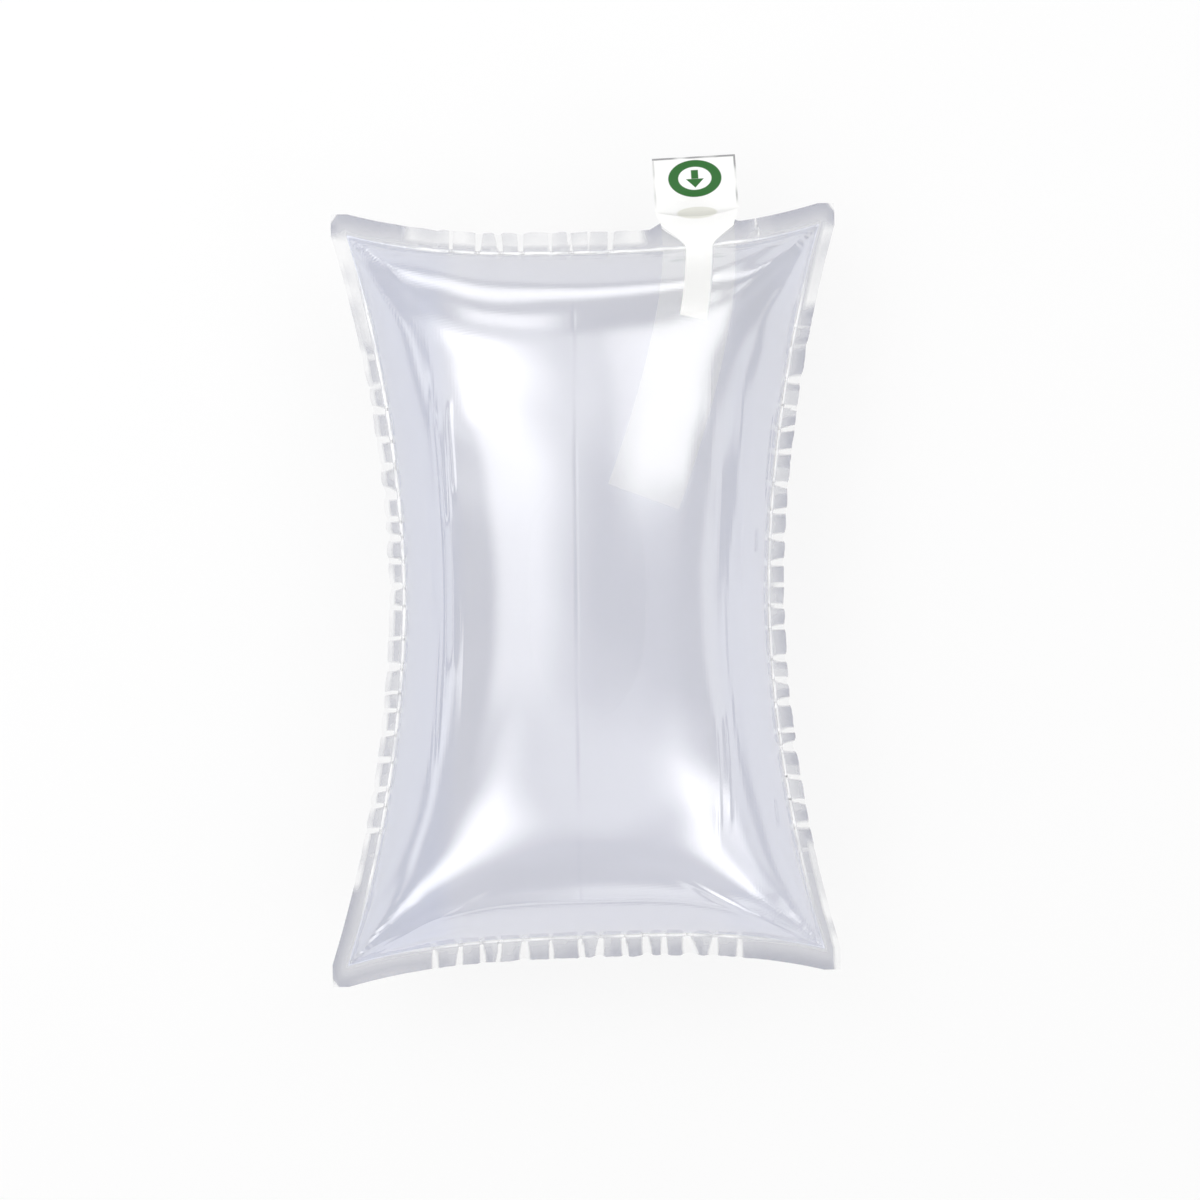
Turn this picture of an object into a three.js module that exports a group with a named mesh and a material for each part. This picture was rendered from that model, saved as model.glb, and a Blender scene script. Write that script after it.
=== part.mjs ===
// Inflatable air pillow bag for filling voids in shipping boxes, lying on its back on a flat surface.
// Two clear film sheets are sealed together round their edges. A flat two-ply film valve passes
// through the top seal: its printed tab stands outside, and its loose tail hangs inside and closes
// against itself under the air pressure.
// Every piece is drawn flat, as it is cut, and then carried to where the air inside takes it.
// Millimetres, +Z up, +X across the bag, +Y towards the valve. The origin is under the middle of
// the belly.
import * as THREE from "three";

// Sheets as cut
const SHEET_WIDTH = 200;
const SHEET_LENGTH = 300;
const SHEET_FILM = 0.08; // thickness of one sheet
const SIDE_SEAL = 6; // width of the sealed band along a long edge
const END_SEAL = 8; // width of the sealed band along a short edge

// The bag when it is inflated
const PILLOW_HEIGHT = 104; // crown to belly, before the belly is pressed flat
const BELLY_PRESS = 2; // how far the bag's own weight flattens the belly
const WAIST_DRAW = 28; // how far the middle of a long seal is drawn in
const END_DRAW = 17.5; // how far the middle of a short seal is drawn in
const EAR_DRAW_ACROSS = 8; // how far a corner is drawn in across the bag
const EAR_DRAW_ALONG = 9.5; // how far a corner is drawn in along the bag
const SIDE_BOW = 1.8; // exponent of the long seals' curve in plan
const END_BOW = 3; // exponent of the short seals' curve in plan
const ROUND_ACROSS = 2.15; // exponents of the pillow's rise from the seals
const ROUND_ALONG = 3.5;
const ROUND_EDGE = 0.48;

// Gathers in the seal, where the drawn-in edge has more film than it needs
const PLEAT_PITCH = 9.4;
const PLEAT_HEIGHT = 1.1; // from the middle plane to a crest
const PLEAT_REACH = 14; // how far a gather runs into the chamber
const PLEAT_START = 0.8; // share of a side's half length where the gathers die out
const PLEAT_FULL = 0.5; // and where they reach their full height
const PLEAT_WANDER = 1.3; // radians by which the crests stray from an even pitch
const WANDER_PITCH = 61;

// Valve
const VALVE_FILM = 0.05; // thickness of one ply
const TAIL_WIDTH = 26.5;
const TAB_WIDTH = 30.5;
const VALVE_OFFSET = 46.5; // from the bag's centre line
const TAB_LENGTH = 26; // beyond the sheets' edge
const TAB_LEAN = 0.8; // sideways, at the tab's end
const TAB_DROOP = 4; // downwards, at the tab's end
const TAIL_LENGTH = 104; // inside the seal
const TAIL_SWING = 18; // sideways, at the tail's end
const TAIL_STRAIGHT = 30; // run inside the seal before the tail swings
const TAIL_LAG = 6; // run inside the seal before the tail lifts off the middle plane
const TAIL_DROP = 4; // below the front sheet
const MOUTH_HEIGHT = 6; // the front ply's edge above the sheets' edge
const MOUTH_DIP = 2.5; // scoop in the middle of that edge
const MOUTH_GAPE = 1.6; // how far each ply stands off at the middle of the mouth
const MOUTH_REACH = 9; // length of tab over which the back ply's gape dies out
const CHANNEL_GAP = 0.3; // between the plies along the middle of the channel
const PLY_EDGE_GAP = 0.1; // between the plies along their sealed edges
const SLOT_CLEARANCE = 0.1; // between a ply and the sheet, in the top seal
const SLOT_MARGIN = 5; // the sheets stay parted this far past the valve's sides
const SLOT_RAMP = 8; // and close over this length

// Fineness of the facets
const POINTS_PER_PLEAT = 3;
const RING_DEPTHS = [0.014, 0.055, 0.12, 0.22, 0.37, 0.57, 0.79, 1]; // shares of the half width
const RING_STEPS = [4.7, 6.4, 8.5, 10.5, 12.5, 15, 18, 20]; // spacing of the points along each ring
const VALVE_COLUMNS = 6;
const VALVE_ROW_STEP = 5;

const half = { x: SHEET_WIDTH / 2, y: SHEET_LENGTH / 2 };
const chamber = { x: half.x - SIDE_SEAL, y: half.y - END_SEAL };
const midPlane = PILLOW_HEIGHT / 2 - BELLY_PRESS;

const { clamp, lerp, smoothstep } = THREE.MathUtils;

// Where the air takes a point of the flat sheets

// How far the long seals are drawn in, level with a sheet point.
function sideDraw(y) {
  const v = clamp(Math.abs(y) / chamber.y, 0, 1);
  return lerp(WAIST_DRAW, EAR_DRAW_ACROSS, v ** SIDE_BOW);
}

// Plan position of a sheet point: the seals are drawn in, most at the middle of each side.
function planOf(x, y) {
  const u = clamp(x / chamber.x, -1, 1);
  const v = clamp(y / chamber.y, -1, 1);
  const endDraw = lerp(END_DRAW, EAR_DRAW_ALONG, Math.abs(u) ** END_BOW);
  return new THREE.Vector2(x - u * sideDraw(y), y - v * endDraw);
}

// Height of a sheet above the middle plane: nothing in the seal, then a steep rise to a broad crown.
function riseOf(x, y) {
  const u = clamp(Math.abs(x) / chamber.x, 0, 1);
  const v = clamp(Math.abs(y) / chamber.y, 0, 1);
  const share = (1 - u ** ROUND_ACROSS) * (1 - v ** ROUND_ALONG);
  return (PILLOW_HEIGHT / 2) * share ** ROUND_EDGE;
}

// Gathers along one side: position along it, its half length, and depth inside its seal.
function gather(along, halfLength, depth) {
  const wander = PLEAT_WANDER * Math.sin((2 * Math.PI * along) / WANDER_PITCH);
  const wave = Math.sin((2 * Math.PI * along) / PLEAT_PITCH + wander);
  const height = smoothstep(PLEAT_START - Math.abs(along) / halfLength, 0, PLEAT_START - PLEAT_FULL);
  const fade = 1 - smoothstep(depth, 0, PLEAT_REACH);
  return PLEAT_HEIGHT * wave * height * fade;
}

// How far each sheet parts from the other, in the top seal, to let the valve through.
function slotLift(x, y) {
  const past = Math.abs(x - VALVE_OFFSET) - TAB_WIDTH / 2 - SLOT_MARGIN;
  const inSeal = 1 - smoothstep(chamber.y - y, 0, PLEAT_REACH);
  const open = CHANNEL_GAP / 2 + VALVE_FILM + SLOT_CLEARANCE;
  return open * (1 - smoothstep(past, 0, SLOT_RAMP)) * inSeal;
}

// Height of the middle plane itself, which the gathers ripple everywhere but at the valve.
function middleOf(x, y) {
  const beside = Math.abs(x - VALVE_OFFSET) - TAB_WIDTH / 2 - SLOT_MARGIN;
  const clearOfValve = y > 0 ? smoothstep(beside, 0, SLOT_RAMP) : 1;
  const sides = gather(y, chamber.y, chamber.x - Math.abs(x));
  const ends = gather(x, chamber.x, chamber.y - Math.abs(y)) * clearOfValve;
  return midPlane + sides + ends;
}

// A point on the inner face of the front sheet (side 1) or of the back sheet (side -1).
function innerFace(x, y, side) {
  const plan = planOf(x, y);
  const z = middleOf(x, y) + side * (riseOf(x, y) + slotLift(x, y));
  return new THREE.Vector3(plan.x, plan.y, z);
}

// Unit normal of that face, pointing out of the bag. The seal is taken as level.
function outward(x, y, side) {
  if (riseOf(x, y) === 0) return new THREE.Vector3(0, 0, side);
  const reach = SIDE_SEAL / 15;
  const across = innerFace(x + reach, y, side).sub(innerFace(x - reach, y, side));
  const along = innerFace(x, y + reach, side).sub(innerFace(x, y - reach, side));
  return across.cross(along).normalize().multiplyScalar(side);
}

// Thin solids from a flat mesh

// A sheet mesh of points {x, y} and triangles, made of closed rectangular rings from the edge to the
// centre line.
function ringMesh() {
  const sealStep = PLEAT_PITCH / POINTS_PER_PLEAT;
  const rings = [
    { w: half.x, l: half.y, step: sealStep },
    { w: chamber.x, l: chamber.y, step: sealStep },
    ...RING_DEPTHS.map((share, i) => {
      const depth = share * chamber.x;
      return { w: chamber.x - depth, l: chamber.y - depth, step: RING_STEPS[i] };
    }),
  ];
  const points = [];
  const triangles = [];
  const known = new Map();
  const indexOf = (x, y) => {
    const key = `${x.toFixed(3)},${y.toFixed(3)}`;
    if (!known.has(key)) known.set(key, points.push({ x, y }) - 1);
    return known.get(key);
  };
  const sidesOf = ({ w, l, step }) => {
    const corners = [[w, -l], [w, l], [-w, l], [-w, -l]];
    return corners.map(([x0, y0], i) => {
      const [x1, y1] = corners[(i + 1) % corners.length];
      const count = Math.max(1, Math.round(Math.hypot(x1 - x0, y1 - y0) / step));
      const pointAt = (share) => indexOf(lerp(x0, x1, share), lerp(y0, y1, share));
      return Array.from({ length: count + 1 }, (_, k) => pointAt(k / count));
    });
  };
  const sides = rings.map(sidesOf);
  for (let ring = 1; ring < rings.length; ring++)
    for (let side = 0; side < 4; side++) stitch(sides[ring - 1][side], sides[ring][side], triangles);
  return { points, triangles, rim: sides[0].flatMap((side) => side.slice(0, -1)) };
}

// Fills the strip between two rows of points, counter-clockwise where the first row is on the right.
function stitch(outer, inner, triangles) {
  const add = (a, b, c) => {
    if (a !== b && b !== c && c !== a) triangles.push([a, b, c]);
  };
  let i = 0;
  let j = 0;
  while (i < outer.length - 1 || j < inner.length - 1) {
    const nextOuter = (i + 0.5) / (outer.length - 1);
    const nextInner = (j + 0.5) / (inner.length - 1);
    if (j === inner.length - 1 || (i < outer.length - 1 && nextOuter <= nextInner)) {
      add(outer[i], outer[i + 1], inner[j]);
      i++;
    } else {
      add(outer[i], inner[j + 1], inner[j]);
      j++;
    }
  }
}

// A strip mesh of points {x: share of the half width, y: run along the valve}, with a row at each of
// the given runs.
function stripMesh(columns, runs) {
  const rows = runs.length - 1;
  const points = [];
  for (const run of runs)
    for (let column = 0; column <= columns; column++)
      points.push({ x: (2 * column) / columns - 1, y: run });
  const rowOf = (row) => Array.from({ length: columns + 1 }, (_, column) => row * (columns + 1) + column);
  const triangles = [];
  for (let row = 0; row < rows; row++) stitch(rowOf(row + 1), rowOf(row), triangles);
  const left = Array.from({ length: rows }, (_, row) => (row + 1) * (columns + 1));
  const right = Array.from({ length: rows }, (_, row) => row * (columns + 1) + columns);
  const far = rowOf(rows).slice(1, -1);
  const near = rowOf(0).slice(0, -1);
  const farCorner = rows * (columns + 1) + columns;
  const rim = [...near, ...right, farCorner, ...far.reverse(), ...left.reverse()];
  return { points, triangles, rim: rim.reverse() };
}

// A closed solid between two faces of one flat mesh: upper and lower each give a point's place.
function thinSolid({ points, triangles, rim }, upper, lower) {
  const places = [...points.map(upper), ...points.map(lower)];
  const under = points.length;
  const index = [];
  for (const [a, b, c] of triangles) index.push(a, b, c, under + a, under + c, under + b);
  rim.forEach((a, i) => {
    const b = rim[(i + 1) % rim.length];
    index.push(a, under + a, b, b, under + a, under + b);
  });
  const geometry = new THREE.BufferGeometry().setFromPoints(places).setIndex(index);
  geometry.computeVertexNormals();
  return geometry;
}

// Bag sheets

const sheetMesh = ringMesh();

function frontSheet() {
  const inner = ({ x, y }) => innerFace(x, y, 1);
  const outer = ({ x, y }) => innerFace(x, y, 1).addScaledVector(outward(x, y, 1), SHEET_FILM);
  return thinSolid(sheetMesh, outer, inner);
}

// The back sheet's belly lies flat on the surface that carries the bag.
function backSheet() {
  const restOn = (point, floor) => point.setZ(Math.max(point.z, floor));
  const inner = ({ x, y }) => restOn(innerFace(x, y, -1), SHEET_FILM);
  const outer = ({ x, y }) =>
    restOn(innerFace(x, y, -1).addScaledVector(outward(x, y, -1), SHEET_FILM), 0);
  return thinSolid(sheetMesh, inner, outer);
}

// Valve plies

// Centre line of the flat valve, from the tab's end to the tail's end.
const valveLine = new THREE.CatmullRomCurve3(
  [
    [VALVE_OFFSET - TAB_LEAN, half.y + TAB_LENGTH],
    [VALVE_OFFSET, half.y + MOUTH_HEIGHT],
    [VALVE_OFFSET, half.y],
    [VALVE_OFFSET, chamber.y],
    [VALVE_OFFSET, chamber.y - TAIL_STRAIGHT],
    [VALVE_OFFSET - TAIL_SWING, chamber.y - TAIL_LENGTH],
  ].map(([x, y]) => new THREE.Vector3(x, y, 0)),
);
const valveLength = valveLine.getLength();

// Run from the tab's end to where the centre line comes down to a given y.
function runTo(y) {
  let above = 0;
  let below = 1;
  for (let step = 0; step < 40; step++) {
    const middle = (above + below) / 2;
    if (valveLine.getPointAt(middle).y > y) above = middle;
    else below = middle;
  }
  return below * valveLength;
}

// The sheet point that a point of the valve lies under, from its share of the half width and its run
// from the tab's end. The valve isn't drawn in with the sheets, so it spreads over more of them than
// its own width.
function onValve(side, run) {
  const share = clamp(run / valveLength, 0, 1);
  const tangent = valveLine.getTangentAt(share);
  const point = valveLine.getPointAt(share);
  const drawn = 1 - sideDraw(point.y) / chamber.x;
  const wide = smoothstep(point.y, half.y, half.y + MOUTH_HEIGHT);
  const across = (side * lerp(TAIL_WIDTH, TAB_WIDTH, wide)) / 2;
  return { x: point.x - (tangent.y * across) / drawn, y: point.y + tangent.x * across };
}

// Half the gap between the plies: sealed edges, an open channel between them, and a mouth that gapes.
function halfGap(side, y) {
  const middle = 1 - side ** 2;
  const mouth = half.y + MOUTH_HEIGHT;
  const gape = smoothstep(y, half.y, mouth) * (1 - smoothstep(y, mouth, mouth + MOUTH_REACH));
  return lerp(PLY_EDGE_GAP, CHANNEL_GAP, middle) / 2 + MOUTH_GAPE * middle ** 2 * gape;
}

// Place of a ply's face, at a distance off the valve's own middle surface.
function valveFace(side, run, offset) {
  const { x, y } = onValve(side, run);
  const plan = planOf(x, y);
  const rise = riseOf(x, y + TAIL_LAG);
  const hang = rise ** 2 / (rise + TAIL_DROP);
  const droop = TAB_DROOP * Math.max(0, (y - half.y) / TAB_LENGTH) ** 2;
  return new THREE.Vector3(plan.x, plan.y, midPlane + hang - droop + offset(side, y));
}

// A ply from its edge outside the bag to the tail's end, with rows of points at both edges of the seal.
// The edge outside may be scooped.
function ply(face, edgeRun, scoop) {
  const stops = [edgeRun, runTo(half.y), runTo(chamber.y), valveLength];
  const runs = [edgeRun];
  for (let i = 1; i < stops.length; i++) {
    const count = Math.max(2, Math.round((stops[i] - stops[i - 1]) / VALVE_ROW_STEP));
    for (let k = 1; k <= count; k++) runs.push(lerp(stops[i - 1], stops[i], k / count));
  }
  const runOf = ({ x, y }) => {
    const outside = Math.max(0, (stops[1] - y) / (stops[1] - edgeRun));
    return y + scoop * outside * (1 - x ** 2);
  };
  const near = (side, y) => face * halfGap(side, y);
  const far = (side, y) => face * (halfGap(side, y) + VALVE_FILM);
  const [upper, lower] = face > 0 ? [far, near] : [near, far];
  return thinSolid(
    stripMesh(VALVE_COLUMNS, runs),
    (point) => valveFace(point.x, runOf(point), upper),
    (point) => valveFace(point.x, runOf(point), lower),
  );
}

// Finishes

const clearFilm = new THREE.MeshStandardMaterial({
  color: 0xd7d9e4,
  roughness: 0.15,
  metalness: 0,
  transparent: true,
  opacity: 0.5,
});
const printedFilm = new THREE.MeshStandardMaterial({ color: 0xf7f7f5, roughness: 0.3, metalness: 0 });

function piece(name, geometry, material) {
  const mesh = new THREE.Mesh(geometry, material);
  mesh.name = name;
  return mesh;
}

const bag = new THREE.Group();
bag.name = "air_pillow_bag";
bag.add(
  piece("front_sheet", frontSheet(), clearFilm),
  piece("back_sheet", backSheet(), clearFilm),
  piece("valve_front_ply", ply(1, runTo(half.y + MOUTH_HEIGHT), MOUTH_DIP), printedFilm),
  piece("valve_back_ply", ply(-1, 0, 0), printedFilm),
);

export default bag;
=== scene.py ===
"""Inflatable air pillow bag: two sealed film sheets and a flat film valve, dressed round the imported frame."""

from math import pi, radians

import bpy
import numpy as np
from bpy.props import FloatProperty, FloatVectorProperty, IntProperty, PointerProperty
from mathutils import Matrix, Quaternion, Vector
from mathutils.bvhtree import BVHTree


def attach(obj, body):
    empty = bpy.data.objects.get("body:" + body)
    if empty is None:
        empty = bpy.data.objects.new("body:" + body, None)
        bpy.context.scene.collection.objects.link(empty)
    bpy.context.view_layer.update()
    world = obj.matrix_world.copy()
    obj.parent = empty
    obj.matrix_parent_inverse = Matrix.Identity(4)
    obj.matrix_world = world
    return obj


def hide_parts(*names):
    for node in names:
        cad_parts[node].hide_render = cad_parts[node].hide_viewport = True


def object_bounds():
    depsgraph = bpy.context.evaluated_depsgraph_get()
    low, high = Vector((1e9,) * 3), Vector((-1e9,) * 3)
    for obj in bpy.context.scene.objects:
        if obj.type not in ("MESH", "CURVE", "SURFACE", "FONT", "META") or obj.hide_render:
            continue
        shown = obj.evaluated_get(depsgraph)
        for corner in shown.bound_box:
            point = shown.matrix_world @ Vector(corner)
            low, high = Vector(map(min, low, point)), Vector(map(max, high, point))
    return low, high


bl_info = {
    "name": "Air Pillow Bag",
    "version": (1, 0, 0),
    "blender": (4, 5, 0),
    "location": "View3D > Sidebar > Air Pillow",
    "description": "Inflates a sealed film bag, hangs its flat valve in it and sets a pale studio round it",
    "category": "Object",
}

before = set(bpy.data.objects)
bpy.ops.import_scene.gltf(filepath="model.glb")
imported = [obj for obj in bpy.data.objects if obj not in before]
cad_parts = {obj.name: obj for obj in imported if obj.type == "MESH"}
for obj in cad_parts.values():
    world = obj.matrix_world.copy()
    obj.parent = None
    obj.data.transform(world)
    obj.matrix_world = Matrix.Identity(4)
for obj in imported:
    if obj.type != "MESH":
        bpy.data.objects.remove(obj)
CAD_LOW, CAD_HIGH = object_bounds()
BODY = "root"

# Sizes and colours


def length(name, description, default):
    """A property that holds a length in metres."""
    return FloatProperty(
        name=name, description=description, default=default, min=0.0, precision=5, unit="LENGTH"
    )


def signed_length(name, description, default):
    """A property that holds a place in metres, to either side."""
    return FloatProperty(name=name, description=description, default=default, precision=5, unit="LENGTH")


def number(name, description, default):
    """A property that holds a plain number."""
    return FloatProperty(name=name, description=description, default=default, precision=3)


def colour(name, description, default):
    """A property that holds a linear colour."""
    return FloatVectorProperty(
        name=name, description=description, default=default, size=3, min=0.0, max=1.0, subtype="COLOR"
    )


def cover(name, description, default):
    """A property that holds a share from 0 to 1."""
    return FloatProperty(
        name=name, description=description, default=default, min=0.0, max=1.0, subtype="FACTOR"
    )


class AirPillowSheets(bpy.types.PropertyGroup):
    """The two film sheets as they are cut, and the form that the air gives them."""

    width: length("Width", "Width of a sheet as cut", 0.200)
    length: length("Length", "Length of a sheet as cut", 0.300)
    film: length("Film", "Thickness of one sheet", 0.00008)
    side_seal: length("Side seal", "Width of the sealed band along a long edge", 0.006)
    end_seal: length("End seal", "Width of the sealed band along a short edge", 0.008)
    belly_press: length("Belly press", "How far the bag's weight flattens its belly", 0.002)
    waist_draw: length("Waist draw", "How far the middle of a long seal is drawn in", 0.028)
    end_draw: length("End draw", "How far the middle of a short seal is drawn in", 0.0175)
    ear_draw_across: length("Ear draw across", "How far a corner is drawn in across the bag", 0.008)
    ear_draw_along: length("Ear draw along", "How far a corner is drawn in along the bag", 0.0095)
    side_bow: number("Side bow", "Exponent of the long seals' curve in plan", 1.8)
    end_bow: number("End bow", "Exponent of the short seals' curve in plan", 3.0)


class AirPillowGathers(bpy.types.PropertyGroup):
    """The pinches where the drawn-in seal has more film than it needs."""

    pitch: length("Pitch", "Distance from pinch to pinch", 0.0094)
    height: length("Height", "Height of a pinch above the middle plane", 0.0010)
    share: number("Share", "Half width of a pinch at the cut edge, as a share of the pitch", 0.27)
    reach: length("Reach", "How far a pinch runs into the chamber", 0.010)
    start: number("Start", "Share of a side's half length where the pinches die out", 0.84)
    full: number("Full", "Share of a side's half length where they reach their full height", 0.5)
    notch: length("Notch", "How far a pinch draws the cut edge in", 0.0014)
    seed: IntProperty(name="Seed", description="Seed of the pinches' uneven spacing", default=4)
    peak: length("Peak", "How far the cut edge stands out beside the valve", 0.0026)
    peak_place: length("Peak place", "Distance of those peaks from the valve's middle", 0.0118)
    peak_width: length("Peak width", "Half width of such a peak", 0.0045)


class AirPillowFolds(bpy.types.PropertyGroup):
    """The soft folds that the blown-up film keeps."""

    sway: length("Sway", "Height of the film's long uneven waves", 0.00026)
    crease: length("Crease", "Height of the crease along the end seals", 0.00006)
    crease_width: length("Crease width", "Half width of that crease", 0.0015)
    top_crease: length("Top crease", "Distance of the top crease from its seal, along the film", 0.0125)
    bottom_crease: length("Bottom crease", "Distance of the bottom crease from its seal", 0.0340)
    fan: length("Fan", "Height of the folds that fan out from a corner", 0.0002)
    fan_reach: length("Fan reach", "Length of those folds", 0.085)
    flank: length("Flank", "Height of the long folds down the flanks", 0.0003)
    flank_place: length("Flank place", "Their mean distance from the centre line", 0.056)
    corner_crease: number("Corner crease", "Height of a corner's fine creases, to their run", 0.005)
    centre_crease: length("Centre crease", "Depth of the crease where the flat bag was folded", 0.00003)
    centre_place: signed_length("Centre place", "Place of that crease", -0.0033)
    seed: IntProperty(name="Seed", description="Seed of the folds' places", default=7)


class AirPillowValve(bpy.types.PropertyGroup):
    """The flat two-ply valve, measured in plan as the blown-up bag carries it."""

    film: length("Film", "Thickness of one ply", 0.00005)
    tail_width: length("Tail width", "Width inside the bag", 0.0265)
    tab_width: length("Tab width", "Width outside the bag", 0.0305)
    offset: length("Offset", "Distance from the bag's centre line", 0.0425)
    tab_length: length("Tab length", "Reach beyond the sheets' edge", 0.026)
    tab_lean: length("Tab lean", "Sideways lean at the tab's end", 0.0016)
    tab_droop: length("Tab droop", "Downward droop at the tab's end", 0.004)
    tail_length: length("Tail length", "Reach inside the seal", 0.092)
    tail_swing: length("Tail swing", "Sideways swing at the tail's end", 0.022)
    swing_bow: number("Swing bow", "Exponent of the tail's swing", 1.56)
    tail_settle: length("Tail settle", "Run inside the seal over which the tail rises", 0.026)
    tail_drop: length("Tail drop", "Distance below the front sheet", 0.004)
    mouth_height: length("Mouth height", "The front ply's edge above the sheets' edge", 0.006)
    mouth_dip: length("Mouth dip", "Scoop in the middle of that edge", 0.0025)
    mouth_gape: length("Mouth gape", "How far each ply stands off at the mouth", 0.0016)
    mouth_reach: length("Mouth reach", "Length of tab over which the gape dies out", 0.009)
    channel_gap: length("Channel gap", "Gap between the plies along the channel", 0.0003)
    edge_gap: length("Edge gap", "Gap between the plies along their sealed edges", 0.0001)
    slot_clearance: length("Slot clearance", "Gap between a ply and a sheet in the seal", 0.0001)
    slot_margin: length("Slot margin", "How far the sheets stay parted past the valve", 0.005)
    slot_ramp: length("Slot ramp", "Length over which the parted sheets close", 0.008)


class AirPillowFinish(bpy.types.PropertyGroup):
    """Colours and gloss of the films."""

    front_film: colour("Front film", "Haze of the front sheet", (0.90, 0.90, 0.89))
    back_film: colour("Back film", "Haze of the back sheet", (0.59, 0.612, 0.79))
    # painted shade: the back sheet drawn darker and bluer down its steep flanks
    flank_shade_film: colour("Flank film", "Haze of the back sheet down the flanks", (0.485, 0.535, 0.80))
    front_weld: colour("Front weld", "Haze of the front sheet where it is welded", (0.48, 0.50, 0.56))
    back_weld: colour("Back weld", "Haze of the back sheet where it is welded", (0.36, 0.365, 0.435))
    # painted highlight: the white line along the weld, where the film bends up from the seal
    bright: colour("Bright film", "The bright line along the weld", (0.98, 0.98, 0.99))
    milky: colour("Milky film", "The valve's unprinted film", (0.93, 0.935, 0.95))
    print_white: colour("White print", "The valve's white ground", (0.97, 0.97, 0.96))
    print_green: colour("Green print", "The mark on the tab", (0.012, 0.14, 0.014))
    # painted shade: the beige of the open valve mouth, where its inside lies in shade
    mouth: colour("Mouth", "The bare film inside the valve's mouth", (0.76, 0.76, 0.69))
    # painted shade: a dark line drawn along the tab's top and side edges
    tab_edge_shade: colour("Print edge", "The thin line along the tab's sealed edge", (0.26, 0.26, 0.27))
    front_cover: cover("Front cover", "How much the front sheet hides", 0.28)
    back_cover: cover("Back cover", "How much the back sheet hides", 0.56)
    front_weld_cover: cover("Front weld cover", "How much the front sheet hides in the weld", 0.25)
    back_weld_cover: cover("Back weld cover", "How much the back sheet hides in the weld", 0.68)
    # how much the painted highlight along the weld hides
    weld_highlight_cover: cover("Bright cover", "How much the weld line hides", 0.92)
    milky_cover: cover("Milky cover", "How much one ply of the valve hides where it isn't printed", 0.28)
    print_cover: cover("Print cover", "How much the valve's print hides", 0.98)
    roughness: cover("Roughness", "Spread of the film's soft gloss", 0.15)
    weld_roughness: cover("Weld roughness", "Spread of the gloss where the film is welded", 0.55)


class AirPillowStudio(bpy.types.PropertyGroup):
    """Camera, lamps and floor."""

    lens: FloatProperty(name="Lens", description="Focal length", default=100.0, unit="CAMERA")
    view_width: length("View width", "Width of the picture at the seals", 0.438)
    view_right: signed_length("View right", "Aim to the right of the bag", 0.0047)
    view_up: signed_length("View up", "Aim above the bag's centre", -0.0015)
    roll: FloatProperty(name="Roll", description="Turn of the camera", default=radians(-0.7), unit="ROTATION")
    key_light: number("Key light", "Radiance of the soft boxes overhead", 2.45)
    sky_light: number("Sky light", "Radiance of the even light all round", 0.17)


# Node trees


class Wire:
    """A socket in a node tree. Arithmetic on it adds Math nodes, and node() adds any other node."""

    def __init__(self, tree, socket=None):
        self.tree = tree
        self.socket = socket

    def node(self, kind, settings=None, inputs=None, output=0):
        """Adds a node with its settings, then its sockets' values or links, and returns one output."""
        made = self.tree.nodes.new(kind)
        for name, value in (settings or {}).items():
            setattr(made, name, value)
        for key, value in (inputs or {}).items():
            if isinstance(value, Wire):
                self.tree.links.new(value.socket, made.inputs[key])
            else:
                made.inputs[key].default_value = value
        return Wire(self.tree, made.outputs[output] if len(made.outputs) else None)

    def math(self, operation, *values):
        """One Math node of the given operation."""
        return self.node("ShaderNodeMath", {"operation": operation}, dict(enumerate(values)))

    def __add__(self, other):
        return self.math("ADD", self, other)

    def __sub__(self, other):
        return self.math("SUBTRACT", self, other)

    def __rsub__(self, other):
        return self.math("SUBTRACT", other, self)

    def __mul__(self, other):
        return self.math("MULTIPLY", self, other)

    def __truediv__(self, other):
        return self.math("DIVIDE", self, other)

    __radd__ = __add__
    __rmul__ = __mul__

    def __abs__(self):
        return self.math("ABSOLUTE", self)

    def at_least(self, other):
        return self.math("MAXIMUM", self, other)

    def at_most(self, other):
        return self.math("MINIMUM", self, other)

    def step(self, low, high):
        """0 below low, 1 above high and a smooth rise between."""
        inputs = {0: self, 1: low, 2: high, 3: 0.0, 4: 1.0}
        return self.node("ShaderNodeMapRange", {"interpolation_type": "SMOOTHSTEP"}, inputs)

    def noise(self, scale, detail=2.0):
        """Even noise along one value, from 0 to 1."""
        settings = {"noise_dimensions": "1D"}
        return self.node("ShaderNodeTexNoise", settings, {"W": self, "Scale": scale, "Detail": detail})

    def blend(self, low, high):
        """A colour from low to high, by this value."""
        settings = {"data_type": "RGBA"}
        return self.node("ShaderNodeMix", settings, {0: self, 6: low, 7: high}, output=2)

    def attribute(self, title, output="Vector"):
        """What the mesh holds at each point under a title."""
        return self.node("ShaderNodeAttribute", {"attribute_name": title}, None, output)

    def split(self):
        """The three parts of a vector."""
        made = self.node("ShaderNodeSeparateXYZ", None, {0: self}).socket.node
        return [Wire(self.tree, out) for out in made.outputs]


def new_material(name):
    """An empty node material, as a wire to build on, and its output node."""
    material = bpy.data.materials.new(name)
    material.use_nodes = True
    tree = material.node_tree
    tree.nodes.clear()
    return material, Wire(tree), tree.nodes.new("ShaderNodeOutputMaterial")


def rgba(value):
    return (*value, 1.0)


# Meshes


def smoothstep(value, low, high):
    share = np.clip((value - low) / (high - low), 0, 1)
    return share * share * (3 - 2 * share)


def lerp(start, end, share):
    return start + (end - start) * share


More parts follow.
